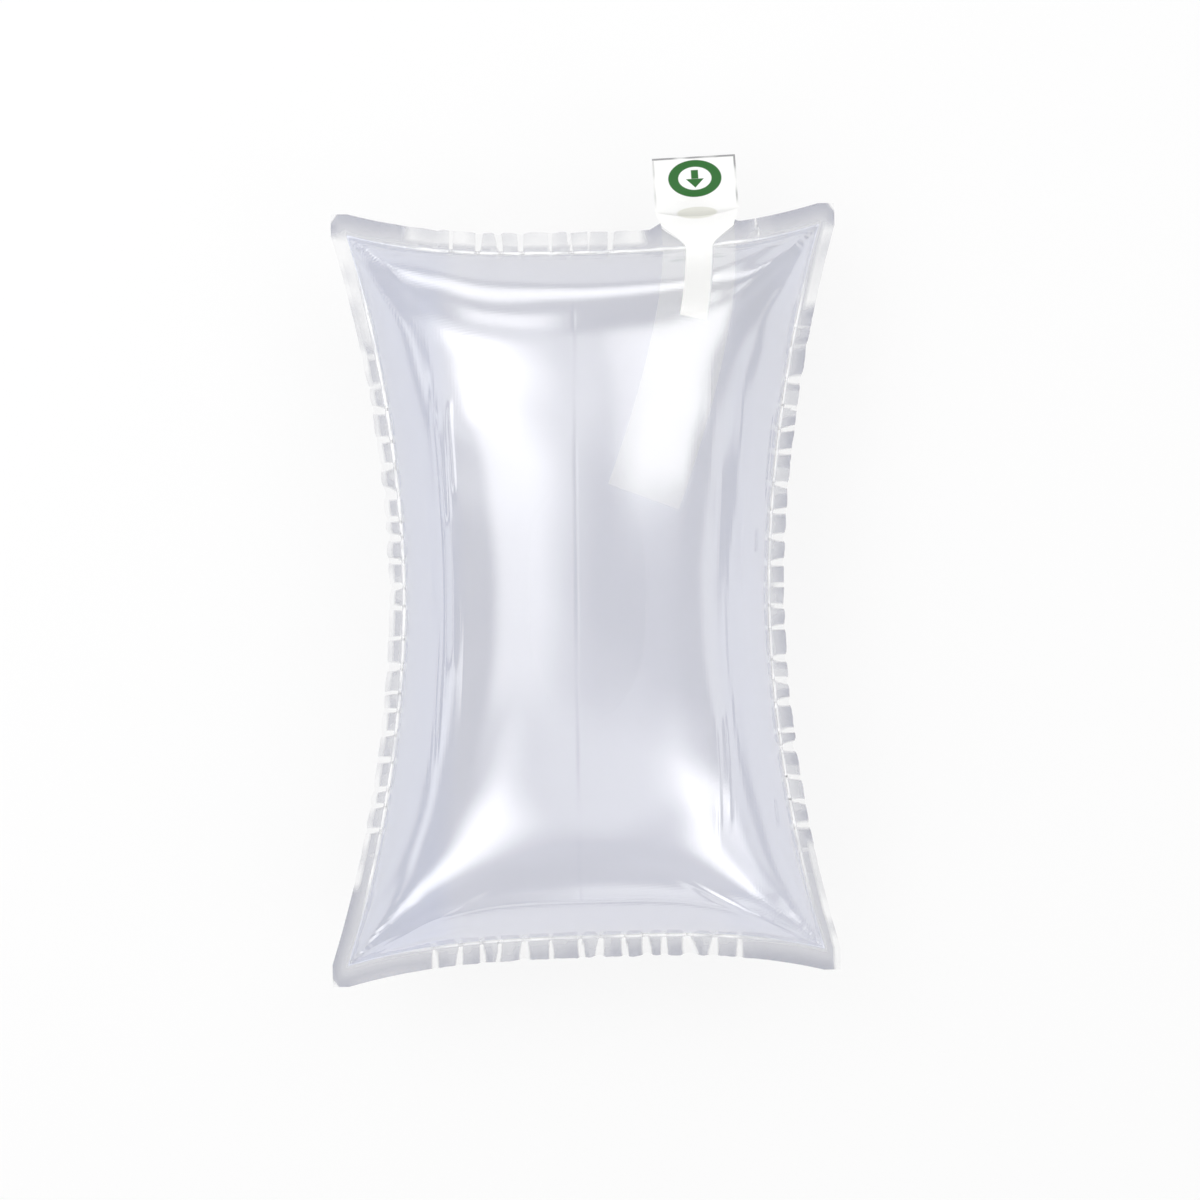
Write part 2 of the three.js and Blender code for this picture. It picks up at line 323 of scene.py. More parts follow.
def sample(grid, row, column):
    """Catmull-Rom samples of a grid at fractional rows and columns."""

    def split(place, count):
        base = np.clip(np.floor(place).astype(int), 0, count - 2)
        t = place - base
        weights = [
            (-t + 2 * t**2 - t**3) / 2,
            (2 - 5 * t**2 + 3 * t**3) / 2,
            (t + 4 * t**2 - 3 * t**3) / 2,
            (t**3 - t**2) / 2,
        ]
        return base, weights

    padded = np.pad(grid, 1, mode="reflect", reflect_type="odd")
    row_base, row_weights = split(row, grid.shape[0])
    column_base, column_weights = split(column, grid.shape[1])
    total = 0
    for i, row_weight in enumerate(row_weights):
        for j, column_weight in enumerate(column_weights):
            total = total + row_weight * column_weight * padded[row_base + i, column_base + j]
    return total


def film_mesh(name, upper, lower, attributes):
    """A closed thin mesh between two grids of points, with its rim. Attributes give each point a vector."""
    rows, columns = upper.shape[:2]
    under = rows * columns
    index = np.arange(under).reshape(rows, columns)
    quads = np.stack([index[:-1, :-1], index[1:, :-1], index[1:, 1:], index[:-1, 1:]], -1).reshape(-1, 4)
    loop = np.concatenate([index[:-1, 0], index[-1, :-1], index[:0:-1, -1], index[0, :0:-1]])
    ahead = np.roll(loop, -1)
    rim = np.stack([loop, loop + under, ahead + under, ahead], -1)
    faces = np.concatenate([quads, quads[:, ::-1] + under, rim])
    points = np.concatenate([upper.reshape(-1, 3), lower.reshape(-1, 3)])
    mesh = bpy.data.meshes.new(name)
    mesh.from_pydata(points.tolist(), [], faces.tolist())
    for title, vectors in attributes.items():
        made = mesh.attributes.new(title, "FLOAT_VECTOR", "POINT")
        made.data.foreach_set("vector", np.concatenate([vectors, vectors]).astype(np.float32).ravel())
    flat_faces = np.zeros(len(faces), dtype=bool)
    flat_faces[-len(rim):] = True
    mesh.attributes.new("sharp_face", "BOOLEAN", "FACE").data.foreach_set("value", flat_faces)
    return mesh


def add_object(name, data):
    made = bpy.data.objects.new(name, data)
    bpy.context.scene.collection.objects.link(made)
    return made


def bake_modifiers(obj):
    """Turns an object's modifiers into plain mesh."""
    evaluated = obj.evaluated_get(bpy.context.evaluated_depsgraph_get())
    mesh = bpy.data.meshes.new_from_object(evaluated)
    obj.modifiers.clear()
    obj.data = mesh


def finish_piece(obj, node):
    """Ties a film piece to the body and hides the solid that it stands for."""
    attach(obj, BODY)
    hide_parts(node)


# The chamber under pressure

SIM_SCALE = 10.0  # the cloth solver is steadier on a bag ten times as big
SIM_COLUMNS = 60
SIM_FRAMES = 32
SIM_BARREL = 0.035  # spare length down the middle of the flat chamber
SIM_PARTING = 0.0003  # the sheets start this far off their middle plane
SIM_UNEVEN = 0.00005  # mean height of the sheets' first unevenness
SIM_SEED = 3
SIM_SMOOTHING = (12, 6)  # passes across and along the bag
CROWN_EDGE = (0.65, 0.88)  # shares of the half width or half length where the smoothing dies out
CORNER_PULLS = (  # corners that lie a little off the even form, in plan
    ((-1, -1), (-0.0026, -0.0012)),
    ((1, -1), (-0.0010, 0.0030)),
    ((1, 1), (0.0, 0.0020)),
)


def cloth_of(obj):
    """Film that hardly stretches, gathers freely and is blown up from inside."""
    cloth = obj.modifiers.new("Film", "CLOTH")
    settings = cloth.settings
    settings.quality = 6
    settings.mass = 0.3
    settings.tension_stiffness = 60
    settings.compression_stiffness = 0.2
    settings.shear_stiffness = 4
    settings.bending_stiffness = 0.2
    settings.air_damping = 10
    settings.use_pressure = True
    settings.uniform_pressure_force = 3
    settings.effector_weights.gravity = 0
    cloth.collision_settings.use_collision = False
    cloth.point_cache.frame_start = 1
    cloth.point_cache.frame_end = SIM_FRAMES


def blow_up(half_x, half_y):
    """Blows two flat sheets that share their edge up, and returns both as grids of points."""
    columns = SIM_COLUMNS
    rows = round(columns * half_y / half_x)
    u, v = np.meshgrid(np.linspace(-1, 1, columns + 1), np.linspace(-1, 1, rows + 1), indexing="ij")
    flat = np.stack([u * half_x, v * half_y * (1 + SIM_BARREL * (1 - u**2)), np.zeros_like(u)], -1)
    inside = (np.abs(u) < 1) & (np.abs(v) < 1)
    front = np.arange(u.size).reshape(u.shape)
    back = front.copy()
    back[inside] = u.size + np.arange(inside.sum())
    uneven = np.random.default_rng(SIM_SEED).normal(0, SIM_UNEVEN, inside.sum())
    above, below = flat.copy(), flat[inside].copy()
    above[inside, 2] += uneven + SIM_PARTING
    below[:, 2] += uneven - SIM_PARTING
    points = np.concatenate([above.reshape(-1, 3), below]) * SIM_SCALE
    faces = []
    for grid, turn in ((front, 1), (back, -1)):
        quads = np.stack([grid[:-1, :-1], grid[1:, :-1], grid[1:, 1:], grid[:-1, 1:]], -1)
        faces += quads.reshape(-1, 4)[:, ::turn].tolist()
    mesh = bpy.data.meshes.new("flat_chamber")
    mesh.from_pydata(points.tolist(), [], faces)
    obj = add_object("flat_chamber", mesh)
    cloth_of(obj)
    scene = bpy.context.scene
    for step in range(1, SIM_FRAMES + 1):
        scene.frame_set(step)
    blown = obj.evaluated_get(bpy.context.evaluated_depsgraph_get()).data
    places = np.empty(len(blown.vertices) * 3)
    blown.vertices.foreach_get("co", places)
    places = places.reshape(-1, 3) / SIM_SCALE
    bpy.data.objects.remove(obj)
    scene.frame_set(1)
    return places[front], places[back]


class Pillow:
    """Where the air takes each point of the flat sheets."""

    def __init__(self, sheets):
        self.half = np.array([sheets.width / 2 - sheets.side_seal, sheets.length / 2 - sheets.end_seal])
        self.middle = CAD_HIGH.z / 2 - sheets.belly_press / 2
        front, back = blow_up(*self.half)
        both = (front + back) / 2
        self.across = self.smooth(self.even(both[..., 0], -1, 1))
        self.along = self.smooth(self.even(both[..., 1], 1, -1))
        self.rise = self.smooth(self.even((front - back)[..., 2] / 2, 1, 1))
        self.fit(sheets)

    @staticmethod
    def even(grid, across, along):
        """Evens a grid out with its mirror images, which keep or change its sign."""
        grid = (grid + across * grid[::-1]) / 2
        return (grid + along * grid[:, ::-1]) / 2

    @staticmethod
    def smooth(grid):
        """Takes the cloth's fine zigzag out of the crown, and leaves the steep edges as they are."""

        def even_out(values, passes):
            for _ in range(passes):
                wide = np.pad(values, ((1, 1), (0, 0)), mode="reflect", reflect_type="odd")
                values = (wide[:-2] + 2 * wide[1:-1] + wide[2:]) / 4
            return values

        for passes in SIM_SMOOTHING:
            soft = even_out(grid, passes)
            soft = soft + even_out(grid - soft, passes)
            crown = 1 - smoothstep(np.abs(np.linspace(-1, 1, len(grid))), *CROWN_EDGE)
            grid = lerp(grid, soft, crown[:, None]).T
        return grid

    def fit(self, sheets):
        """Brings the seals to their drawn-in lines and the crown to its height."""
        columns, rows = self.rise.shape
        u = np.abs(np.linspace(-1, 1, columns))
        v = np.abs(np.linspace(-1, 1, rows))
        side = self.half[0] - lerp(sheets.waist_draw, sheets.ear_draw_across, v**sheets.side_bow)
        end = self.half[1] - lerp(sheets.end_draw, sheets.ear_draw_along, u**sheets.end_bow)
        self.across = self.across * (side / self.across[-1])[None, :]
        self.along = self.along * (end / self.along[:, -1])[:, None]
        self.rise = np.maximum(self.rise, 0)
        self.rise[[0, -1], :] = 0
        self.rise[:, [0, -1]] = 0
        self.rise *= (CAD_HIGH.z - self.middle) / self.rise.max()

    def at(self, x, y):
        """Plan place and rise of flat points. The sealed band goes with the edge that it is on."""
        held_x = np.clip(x, -self.half[0], self.half[0])
        held_y = np.clip(y, -self.half[1], self.half[1])
        columns, rows = self.rise.shape
        i = (held_x / self.half[0] + 1) / 2 * (columns - 1)
        j = (held_y / self.half[1] + 1) / 2 * (rows - 1)
        across = sample(self.across, i, j) + x - held_x
        along = sample(self.along, i, j) + y - held_y
        for (side_x, side_y), (pull_x, pull_y) in CORNER_PULLS:
            near_x = (1 + side_x * held_x / self.half[0]) / 2
            near_y = (1 + side_y * held_y / self.half[1]) / 2
            across = across + pull_x * near_x**2 * near_y**3  # a pull dies out sooner along the bag
            along = along + pull_y * near_x**2 * near_y**3
        inside = (np.abs(x) < self.half[0]) & (np.abs(y) < self.half[1])
        return across, along, np.where(inside, sample(self.rise, i, j), 0)

    def crown(self):
        """The front sheet's chamber as a search tree, to look its height up from above."""
        xs = np.linspace(-self.half[0], self.half[0], CHAMBER_COLUMNS + 1)
        ys = np.linspace(-self.half[1], self.half[1], CHAMBER_ROWS + 1)
        places = np.stack(self.at(*np.meshgrid(xs, ys, indexing="ij")), -1)
        index = np.arange(places[..., 0].size).reshape(places.shape[:2])
        quads = np.stack([index[:-1, :-1], index[1:, :-1], index[1:, 1:], index[:-1, 1:]], -1)
        return BVHTree.FromPolygons(places.reshape(-1, 3).tolist(), quads.reshape(-1, 4).tolist())

    def rise_over(self, across, along):
        """Rise of the front sheet over plan places, and 0 outside the chamber."""
        tree = self.crown()
        down = Vector((0, 0, -1))
        found = []
        for place in zip(across.ravel(), along.ravel()):
            hit = tree.ray_cast(Vector((*place, 1)), down)[0]
            found.append(hit.z if hit else 0)
        return np.array(found).reshape(across.shape)

    def end_seam(self, across):
        """How far along the bag the top seal's inner edge lies, over a place across it."""
        xs = np.linspace(0, self.half[0], CHAMBER_COLUMNS)
        line = self.at(xs, np.full_like(xs, self.half[1]))
        return float(np.interp(across, line[0], line[1]))


# Film sheets

CHAMBER_COLUMNS = 160
CHAMBER_ROWS = 250
SEAL_CELLS = 4
WELD_GAP = 0.00002  # between the welded sheets, so that they don't share a face
LIFT_TURN = 0.004  # depth over which a gather turns from upright to square with the film
FOLD_FADE = (0.001, 0.009)  # depth over which the folds gain their height
SWAY_WAVES = 10
SWAY_LENGTHS = (0.024, 0.060)
SWAY_TURNS = (1.0, 2.15)  # the waves run mostly along the bag, in radians from across it
SWAY_LOW = 0.35  # share of the waves' height in the lower half of the bag
SWAY_RISE = (0.02, 0.07)  # places along the bag between which they grow
SWAY_ENDS = (0.015, 0.045)  # distances from an end seal between which they start
RAY_WAVES = 5
RAY_COUNTS = (12, 36)
RAY_START = (0.004, 0.020)  # distances from the corner between which its creases start, and die out
RAY_END = (0.024, 0.066)
FAN_FOLDS = 6
FAN_ANGLES = (0.2, 1.4)
FAN_WIDTHS = (0.05, 0.11)
FAN_LENGTHS = (0.45, 1.0)  # shares of the folds' reach
FAN_HEIGHTS = (0.3, 1.0)
FAN_START = (0.1, 0.3)  # shares of a fold's own length between which it starts, and dies out
FAN_END = (0.35, 1.0)
FLANK_FOLDS = 6
FLANK_SPREAD = 0.45
FLANK_WIDTHS = (0.0014, 0.0026)
FLANK_MIDDLES = (-0.5, 0.5)  # shares of the chamber's half length
FLANK_HALVES = (0.2, 0.5)
FLANK_BENDS = (0.2, 0.6)  # shares of the deepest bow, which a fold of the chamber's length would have
FLANK_BOW = 0.02
FLANK_HEIGHTS = (0.4, 1.0)
TOP_BOW = 6.0  # exponents of the creases' curves towards the corners
BOTTOM_BOW = 2.5
CREASE_ENDS = (0.75, 1.0)  # shares of the half width between which the end seals' creases die out
BOTTOM_SHARE = 0.5  # height of the bottom crease to that of the top one
PATCHES = 64  # cells along each side of a grid of even noise
UNEVEN_PITCH = 0.007  # grain of the weld's uneven tone
WEAR_PITCH = 0.025  # grain of the creases' uneven height


def flat_lines(edge, chamber, cells):
    """Grid lines across a flat sheet: the sealed band, the chamber, the sealed band."""
    band = np.linspace(chamber, edge, SEAL_CELLS + 1)[1:]
    return np.concatenate([-band[::-1], np.linspace(-chamber, chamber, cells + 1), band])


def outward_of(places, side):
    """Unit normals of a grid of points, pointing out of the bag."""
    normals = np.cross(np.gradient(places, axis=0), np.gradient(places, axis=1))
    return side * normals / np.linalg.norm(normals, axis=-1, keepdims=True)


def slot_lift(y, across, pillow, valve, gathers):
    """How far each sheet parts from the other, in the top seal, to let the valve through."""
    past = np.abs(across - valve.offset) - valve.tab_width / 2 - valve.slot_margin
    in_seal = 1 - smoothstep(pillow.half[1] - y, 0, gathers.reach)
    opening = valve.channel_gap / 2 + valve.film + valve.slot_clearance
    return opening * (1 - smoothstep(past, 0, valve.slot_ramp)) * in_seal


def valve_peaks(y, across, pillow, settings):
    """How far the top seal's cut edge stands out in a peak on each side of the valve."""
    gathers, valve = settings.gathers, settings.valve
    outward = np.clip((y - pillow.half[1]) / settings.sheets.end_seal, 0, 1)
    middle = valve.offset - valve.tab_lean
    beside = np.abs(across - middle) - gathers.peak_place
    return gathers.peak * outward * np.clip(1 - np.abs(beside) / gathers.peak_width, 0, 1)


def bell(value, width):
    return np.exp(-((value / width) ** 2))


def sways(x, y, draw):
    """Long uneven waves over a sheet, about 1 high."""
    total = 0
    for _ in range(SWAY_WAVES):
        turn = draw.uniform(*SWAY_TURNS)
        wave = 2 * pi / draw.uniform(*SWAY_LENGTHS)
        total = total + np.sin(wave * (x * np.cos(turn) + y * np.sin(turn)) + draw.uniform(0, 2 * pi))
    return total / SWAY_WAVES**0.5


def patchy(x, y, pitch, draw):
    """Even noise over a sheet, from about 0 to 1."""
    grid = draw.uniform(0, 1, (PATCHES, PATCHES))
    return sample(grid, x / pitch + PATCHES / 2, y / pitch + PATCHES / 2)


def chamber_corners(x, y, pillow):
    """Distance and angle of the flat points from each of the chamber's four corners in turn."""
    for side_x in (-1, 1):
        for side_y in (-1, 1):
            from_side = pillow.half[0] - side_x * x
            from_end = pillow.half[1] - side_y * y
            yield np.hypot(from_side, from_end), np.arctan2(from_side, from_end)


def corner_rays(x, y, pillow, draw):
    """Fine creases that run out from the four corners. Their height grows with their run."""
    total = 0
    for away, angle in chamber_corners(x, y, pillow):
        waves = 0
        for _ in range(RAY_WAVES):
            waves = waves + np.sin(draw.uniform(*RAY_COUNTS) * angle + draw.uniform(0, 2 * pi))
        run = smoothstep(away, *RAY_START) * (1 - smoothstep(away, *RAY_END))
        total = total + waves / RAY_WAVES**0.5 * away * run
    return total


def fan_folds(x, y, pillow, folds, draw):
    """Narrow folds that fan out from the four corners of the chamber, about 1 high."""
    total = 0
    for away, angle in chamber_corners(x, y, pillow):
        for share in (np.arange(FAN_FOLDS) + 0.5) / FAN_FOLDS:
            turn = lerp(*FAN_ANGLES, share + draw.uniform(-0.5, 0.5) / FAN_FOLDS)
            reach = folds.fan_reach * draw.uniform(*FAN_LENGTHS)
            height = draw.uniform(*FAN_HEIGHTS)
            start, end = ([share * reach for share in shares] for shares in (FAN_START, FAN_END))
            run = smoothstep(away, *start) * (1 - smoothstep(away, *end))
            total = total + height * run * bell(angle - turn, draw.uniform(*FAN_WIDTHS))
    return total


def flank_folds(x, y, pillow, folds, draw):
    """Long soft folds down both flanks, about 1 high."""
    total = 0
    for side_x in (-1, 1):
        for share in (np.arange(FLANK_FOLDS) + 0.5) / FLANK_FOLDS:
            place = folds.flank_place * (1 + (share - 0.5) * FLANK_SPREAD)
            middle = pillow.half[1] * draw.uniform(*FLANK_MIDDLES)
            half = pillow.half[1] * draw.uniform(*FLANK_HALVES)
            bend = draw.uniform(*FLANK_BENDS) * half / pillow.half[1] * FLANK_BOW
            along = np.clip((y - middle) / half, -1, 1)
            line = place + bend * along**2
            run = (1 - along**2) ** 2 * draw.uniform(*FLANK_HEIGHTS)
            total = total + run * bell(side_x * x - line, draw.uniform(*FLANK_WIDTHS))
    return total


def film_folds(x, y, side, pillow, folds):
    """Height of the folds that a sheet keeps. They die out at the weld."""
    draw = np.random.default_rng(folds.seed + side)
    from_side, from_end = pillow.half[0] - np.abs(x), pillow.half[1] - np.abs(y)
    outer = np.clip(np.abs(x) / pillow.half[0], 0, 1)
    top = bell(pillow.half[1] - y - folds.top_crease * (1 - outer**TOP_BOW), folds.crease_width)
    bottom = bell(pillow.half[1] + y - folds.bottom_crease * (1 - outer**BOTTOM_BOW), folds.crease_width)
    creases = (1 - smoothstep(outer, *CREASE_ENDS)) * (top + BOTTOM_SHARE * bottom)
    height = folds.sway * sways(x, y, draw) * lerp(SWAY_LOW, 1, smoothstep(y, *SWAY_RISE))
    height = height * smoothstep(from_end, *SWAY_ENDS)
    height = height + folds.corner_crease * corner_rays(x, y, pillow, draw)
    height = height + folds.crease * creases
    height = height + folds.fan * fan_folds(x, y, pillow, folds, draw)
    height = height + folds.flank * flank_folds(x, y, pillow, folds, draw)
    return height * smoothstep(np.minimum(from_side, from_end), *FOLD_FADE)


def film_sheet(name, side, pillow, settings):
    """One sheet of the bag as a closed film, front (side 1) or back (side -1), before it is gathered."""
    sheets = settings.sheets
    xs = flat_lines(sheets.width / 2, pillow.half[0], CHAMBER_COLUMNS)
    ys = flat_lines(sheets.length / 2, pillow.half[1], CHAMBER_ROWS)
    x, y = np.meshgrid(xs, ys, indexing="ij")
    across, along, rise = pillow.at(x, y)
    along = along + valve_peaks(y, across, pillow, settings)
    gap = slot_lift(y, across, pillow, settings.valve, settings.gathers) + WELD_GAP
    inner = np.stack([across, along, pillow.middle + side * (rise + gap)], -1)
    inner = inner + outward_of(inner, side) * film_folds(x, y, side, pillow, settings.folds)[..., None]
    outward = outward_of(inner, side)
    outer = inner + outward * sheets.film
    if side < 0:
        inner[..., 2] = np.maximum(inner[..., 2], sheets.film)
        outer[..., 2] = np.maximum(outer[..., 2], 0)
    depth = np.minimum(pillow.half[0] - np.abs(x), pillow.half[1] - np.abs(y))
    turn = smoothstep(depth, 0, LIFT_TURN)[..., None]
    upright = np.array([0, 0, 1])
    lift = lerp(upright, side * outward, turn)
    upper, lower = (outer, inner) if side > 0 else (inner, outer)
    draw = np.random.default_rng(settings.folds.seed)
    unevenness = [patchy(x, y, UNEVEN_PITCH, draw), patchy(x, y, WEAR_PITCH, draw), np.zeros_like(x)]
    vectors = {"flat": np.stack([x, y, np.zeros_like(x)], -1), "lift": lift, "unevenness": np.stack(unevenness, -1)}
    return film_mesh(name, upper, lower, {title: grid.reshape(-1, 3) for title, grid in vectors.items()})


# Gathered seals

FACING_SEED = 17  # two facing sides don't pinch alike
CELL_SEED = 31.7
SPACING = (0.16, 1, 1.8)  # grain, seed and size of the pinches' uneven spacing, in pitches
LOOSE = (0.8, 3, 0.9)  # the same of the loose waves between them, in heights
WOBBLE = (1.3, 7, 0.8)  # and of the cut edge's wobble, in notches
PINCH_SPREAD = (-0.3, 1.0)  # places across the band between which a pinch gains its width
PINCH_FOOT = 0.35  # its width inside to that at the cut edge
PINCH_SHIFT = 0.3  # how far its middle strays, in pitches
PINCH_SLANT = 0.4
HELD_UNEVEN = 0.2  # how much sooner or later a pinch dies out along its side
LEAST_REACH = 0.4  # how far the shortest pinch runs to the longest
DOWNWARD = 0.35  # share of the pinches that point down
PALE = 0.5  # how much of its cover the palest square between pinches loses
PALE_FOOT = 0.4  # share of that beside the chamber


def gather_tree(material):
    """Geometry Nodes that gather the seal: pinches along every side that die out towards the ears."""
    tree = bpy.data.node_groups.new("Seal gathers", "GeometryNodeTree")
    names = ("Half across", "Half along", "Side seal", "End seal", "Pitch", "Height", "Share", "Reach",
             "Start", "Full", "Notch", "Seed", "Valve offset", "Valve half", "Valve ramp")
    tree.interface.new_socket("Film", in_out="INPUT", socket_type="NodeSocketGeometry")
    for name in names:
        tree.interface.new_socket(name, in_out="INPUT", socket_type="NodeSocketFloat")
    tree.interface.new_socket("Film", in_out="OUTPUT", socket_type="NodeSocketGeometry")
    wire = Wire(tree)
    entry = tree.nodes.new("NodeGroupInput")
    given = {name: Wire(tree, entry.outputs[name]) for name in ("Film", *names)}
    vector = {"data_type": "FLOAT_VECTOR"}
    x, y, _ = wire.node("GeometryNodeInputNamedAttribute", vector, {0: "flat"}).split()
    lift = wire.node("GeometryNodeInputNamedAttribute", vector, {0: "lift"})

    def pinches(along, across, half_length, half_depth, band):
        """Along two facing sides: how sharp, how high, how far drawn in and how pale each place is."""
        depth = half_depth - abs(across)
        facing = wire.math("SIGN", across)
        which = facing * FACING_SEED + given["Seed"]

        def uneven(place, grain, seed, size):
            return ((place * grain + which * seed).noise(1.0) - 0.5) * size

        place = along / given["Pitch"]
        place = place + uneven(place, *SPACING)
        cell = wire.math("FLOOR", place)
        draws = {"W": cell + which * CELL_SEED}
        chance = wire.node("ShaderNodeTexWhiteNoise", {"noise_dimensions": "1D"}, draws, output=1)
        size, shift, turn = chance.split()
        outward = (0 - depth / band).step(*PINCH_SPREAD)
        half = given["Share"] * (size + 0.5) * (outward * (1 - PINCH_FOOT) + PINCH_FOOT)
        middle = (shift - 0.5) * PINCH_SHIFT + 0.5 + (turn - 0.5) * depth / given["Pitch"] * PINCH_SLANT
        ridge = (1 - abs(place - cell - middle) / half).at_least(0.0)
        dying = abs(along) / half_length + (size - 0.5) * HELD_UNEVEN
        held = 1 - dying.step(given["Full"], given["Start"])
        fade = 1 - (depth / given["Reach"]).step(0.0, LEAST_REACH + size * (1 - LEAST_REACH))
        sharp = ridge * held * fade
        height = sharp * wire.math("SIGN", turn - DOWNWARD) + uneven(place, *LOOSE) * held * fade
        drawn = facing * (uneven(place, *WOBBLE) - ridge * size) * held * outward * given["Notch"]
        pale = (turn * turn * PALE * (outward * (1 - PALE_FOOT) + PALE_FOOT)).at_most(PALE) * held
        return sharp, height, drawn, pale

    beside = abs(x - given["Valve offset"]) - given["Valve half"]
    clear = 1 - (1 - (beside / given["Valve ramp"]).step(0.0, 1.0)) * wire.math("GREATER_THAN", y, 0.0)
    side_sharp, side_height, side_drawn, side_pale = pinches(
        y, x, given["Half along"], given["Half across"], given["Side seal"]
    )
    end_sharp, end_height, end_drawn, end_pale = pinches(
        x, y, given["Half across"], given["Half along"], given["End seal"]
    )
    sharp = side_sharp.at_least(end_sharp * clear)
    pale = side_pale.at_least(end_pale * clear)
    height = (side_height + end_height * clear) * given["Height"]
    scaled = wire.node("ShaderNodeVectorMath", {"operation": "SCALE"}, {0: lift, 3: height})
    inward = wire.node("ShaderNodeCombineXYZ", None, {0: side_drawn, 1: end_drawn * clear})
    offset = wire.node("ShaderNodeVectorMath", {"operation": "ADD"}, {0: scaled, 1: inward})
    moved = wire.node("GeometryNodeSetPosition", None, {"Geometry": given["Film"], "Offset": offset})
    store = "GeometryNodeStoreNamedAttribute"
    marked = wire.node(store, None, {"Geometry": moved, "Name": "pinch", "Value": sharp})
    toned = wire.node(store, None, {"Geometry": marked, "Name": "pale", "Value": pale})
    real = wire.node("GeometryNodeRealizeInstances", None, {0: toned})
    done = wire.node("GeometryNodeSetMaterial", None, {"Geometry": real, "Material": material})
    leave = tree.nodes.new("NodeGroupOutput")
    tree.links.new(done.socket, leave.inputs[0])
    return tree


def gather(obj, tree, pillow, settings):
    """Gathers a film sheet with the tree and turns the result into plain mesh."""
    gathers, valve, sheets = settings.gathers, settings.valve, settings.sheets
    values = {
        "Half across": pillow.half[0],
        "Half along": pillow.half[1],
        "Side seal": sheets.side_seal,
        "End seal": sheets.end_seal,
        "Pitch": gathers.pitch,
        "Height": gathers.height,
        "Share": gathers.share,
        "Reach": gathers.reach,
        "Start": gathers.start,
        "Full": gathers.full,
        "Notch": gathers.notch,
        "Seed": float(gathers.seed),
        "Valve offset": valve.offset,
        "Valve half": valve.tab_width / 2 + valve.slot_margin,
        "Valve ramp": valve.slot_ramp,
    }
    modifier = obj.modifiers.new("Gathers", "NODES")
    modifier.node_group = tree
    for item in tree.interface.items_tree:
        if item.in_out == "INPUT" and item.name in values:
            modifier[item.identifier] = values[item.name]
    bake_modifiers(obj)


# Valve

VALVE_COLUMNS = 24
VALVE_ROWS = 180


def valve_ply(name, face, pillow, settings):
    """One ply of the valve as a closed film, front (face 1) or back (face -1)."""
    valve = settings.valve
    weld = pillow.end_seam(valve.offset)
    edge = weld + settings.sheets.end_seal
    mouth = edge + valve.mouth_height
    top = mouth if face > 0 else edge + valve.tab_length
    bottom = weld - valve.tail_length
    side, run = np.meshgrid(
        np.linspace(-1, 1, VALVE_COLUMNS + 1), np.linspace(bottom, top, VALVE_ROWS + 1), indexing="ij"
    )
    if face > 0:
        run = run - valve.mouth_dip * (1 - side**2) * np.clip((run - edge) / valve.mouth_height, 0, 1)
    swing = np.clip((weld - run) / valve.tail_length, 0, None)
    lean = np.clip((run - weld) / (edge + valve.tab_length - weld), 0, None)
    centre = valve.offset - valve.tail_swing * swing**valve.swing_bow - valve.tab_lean * lean
    slope = np.gradient(centre, axis=1) / np.gradient(run, axis=1)
    across = side * lerp(valve.tail_width, valve.tab_width, smoothstep(run, edge, mouth)) / 2
    turned = 1 / np.hypot(1, slope)
    plan_x = centre + across * turned
    plan_y = run - across * slope * turned
    rise = pillow.rise_over(plan_x, plan_y)
    hang = rise**2 / (rise + valve.tail_drop) * smoothstep(weld - plan_y, 0, valve.tail_settle)
    droop = valve.tab_droop * np.clip((plan_y - edge) / valve.tab_length, 0, None) ** 2
    inside = 1 - side**2
    gape = smoothstep(run, edge, mouth) * (1 - smoothstep(run, mouth, mouth + valve.mouth_reach))
    gap = lerp(valve.edge_gap, valve.channel_gap, inside) / 2 + valve.mouth_gape * inside**2 * gape
    near = np.stack([plan_x, plan_y, pillow.middle + hang - droop + face * gap], -1)
    far = near + np.array([0, 0, face * valve.film])
    upper, lower = (far, near) if face > 0 else (near, far)
    flat = np.stack([across, run - edge, np.zeros_like(run)], -1)
    return film_mesh(name, upper, lower, {"flat": flat.reshape(-1, 3)})


# Finishes

SEAM = 0.0006  # width over which the film turns into weld
WELD_HIGHLIGHT_WIDTH = 0.0014  # half width of the painted highlight along the weld, between the weld and the chamber
WELD_HIGHLIGHT_START = (0.010, 0.040)  # distances from a corner between which that painted highlight starts
WELD_HIGHLIGHT_TONES = (0.5, 0.8)  # the painted highlight's least tone, and how much its uneven tone adds
WELD_EDGE = (0.0, 1.2)  # places across the band between which the weld hides more, and shows darker, towards the cut edge
WELD_TONES = (0.62, 0.60)  # its least share of its cover, and how much of it is added there
BARE_TONES = (0.65, 0.6)
BARE_PINCH = (0.05, 0.55)  # sharpness of a pinch between which it grows bare
BARE_LOSS = 0.94  # how much of its cover a bare place loses
BARE_SOFT = 0.006  # length over which a bare stretch starts
BARE_EARS = (1.45, 1.75)  # places across both bands together between which an ear's tip grows bare
BARE_STRETCHES = (  # side, start and end along it, places across the band where it grows bare, how bare
    ("left", -0.108, 0.139, (0.50, 0.80), 0.95),
    ("left", 0.100, 0.139, (-0.1, 0.1), 0.85),
    ("right", 0.112, 0.139, (0.20, 0.50), 0.90),
    ("right", -0.150, -0.100, (0.45, 0.75), 0.90),
    ("top", -0.068, 0.022, (0.20, 0.50), 0.85),
    ("bottom", -0.062, 0.062, (0.75, 1.00), 0.15),
    ("bottom", -0.090, -0.062, (0.55, 0.90), 0.30),
)
FRONT_SHEEN = 0.65  # share of the film's gloss that is as strong as metal's
BACK_SHEEN = 0.02
FLANK_SHADE_STEP = (0.047, 0.060)  # distances from the centre line between which the painted shade of the flanks begins
RIGHT_SHADE_STEP = (-0.01, 0.01)
RIGHT_SHADE_LOSS = 0.6  # how much less of the flanks' painted shade the right one has
CENTRE_WIDTH = 0.0007
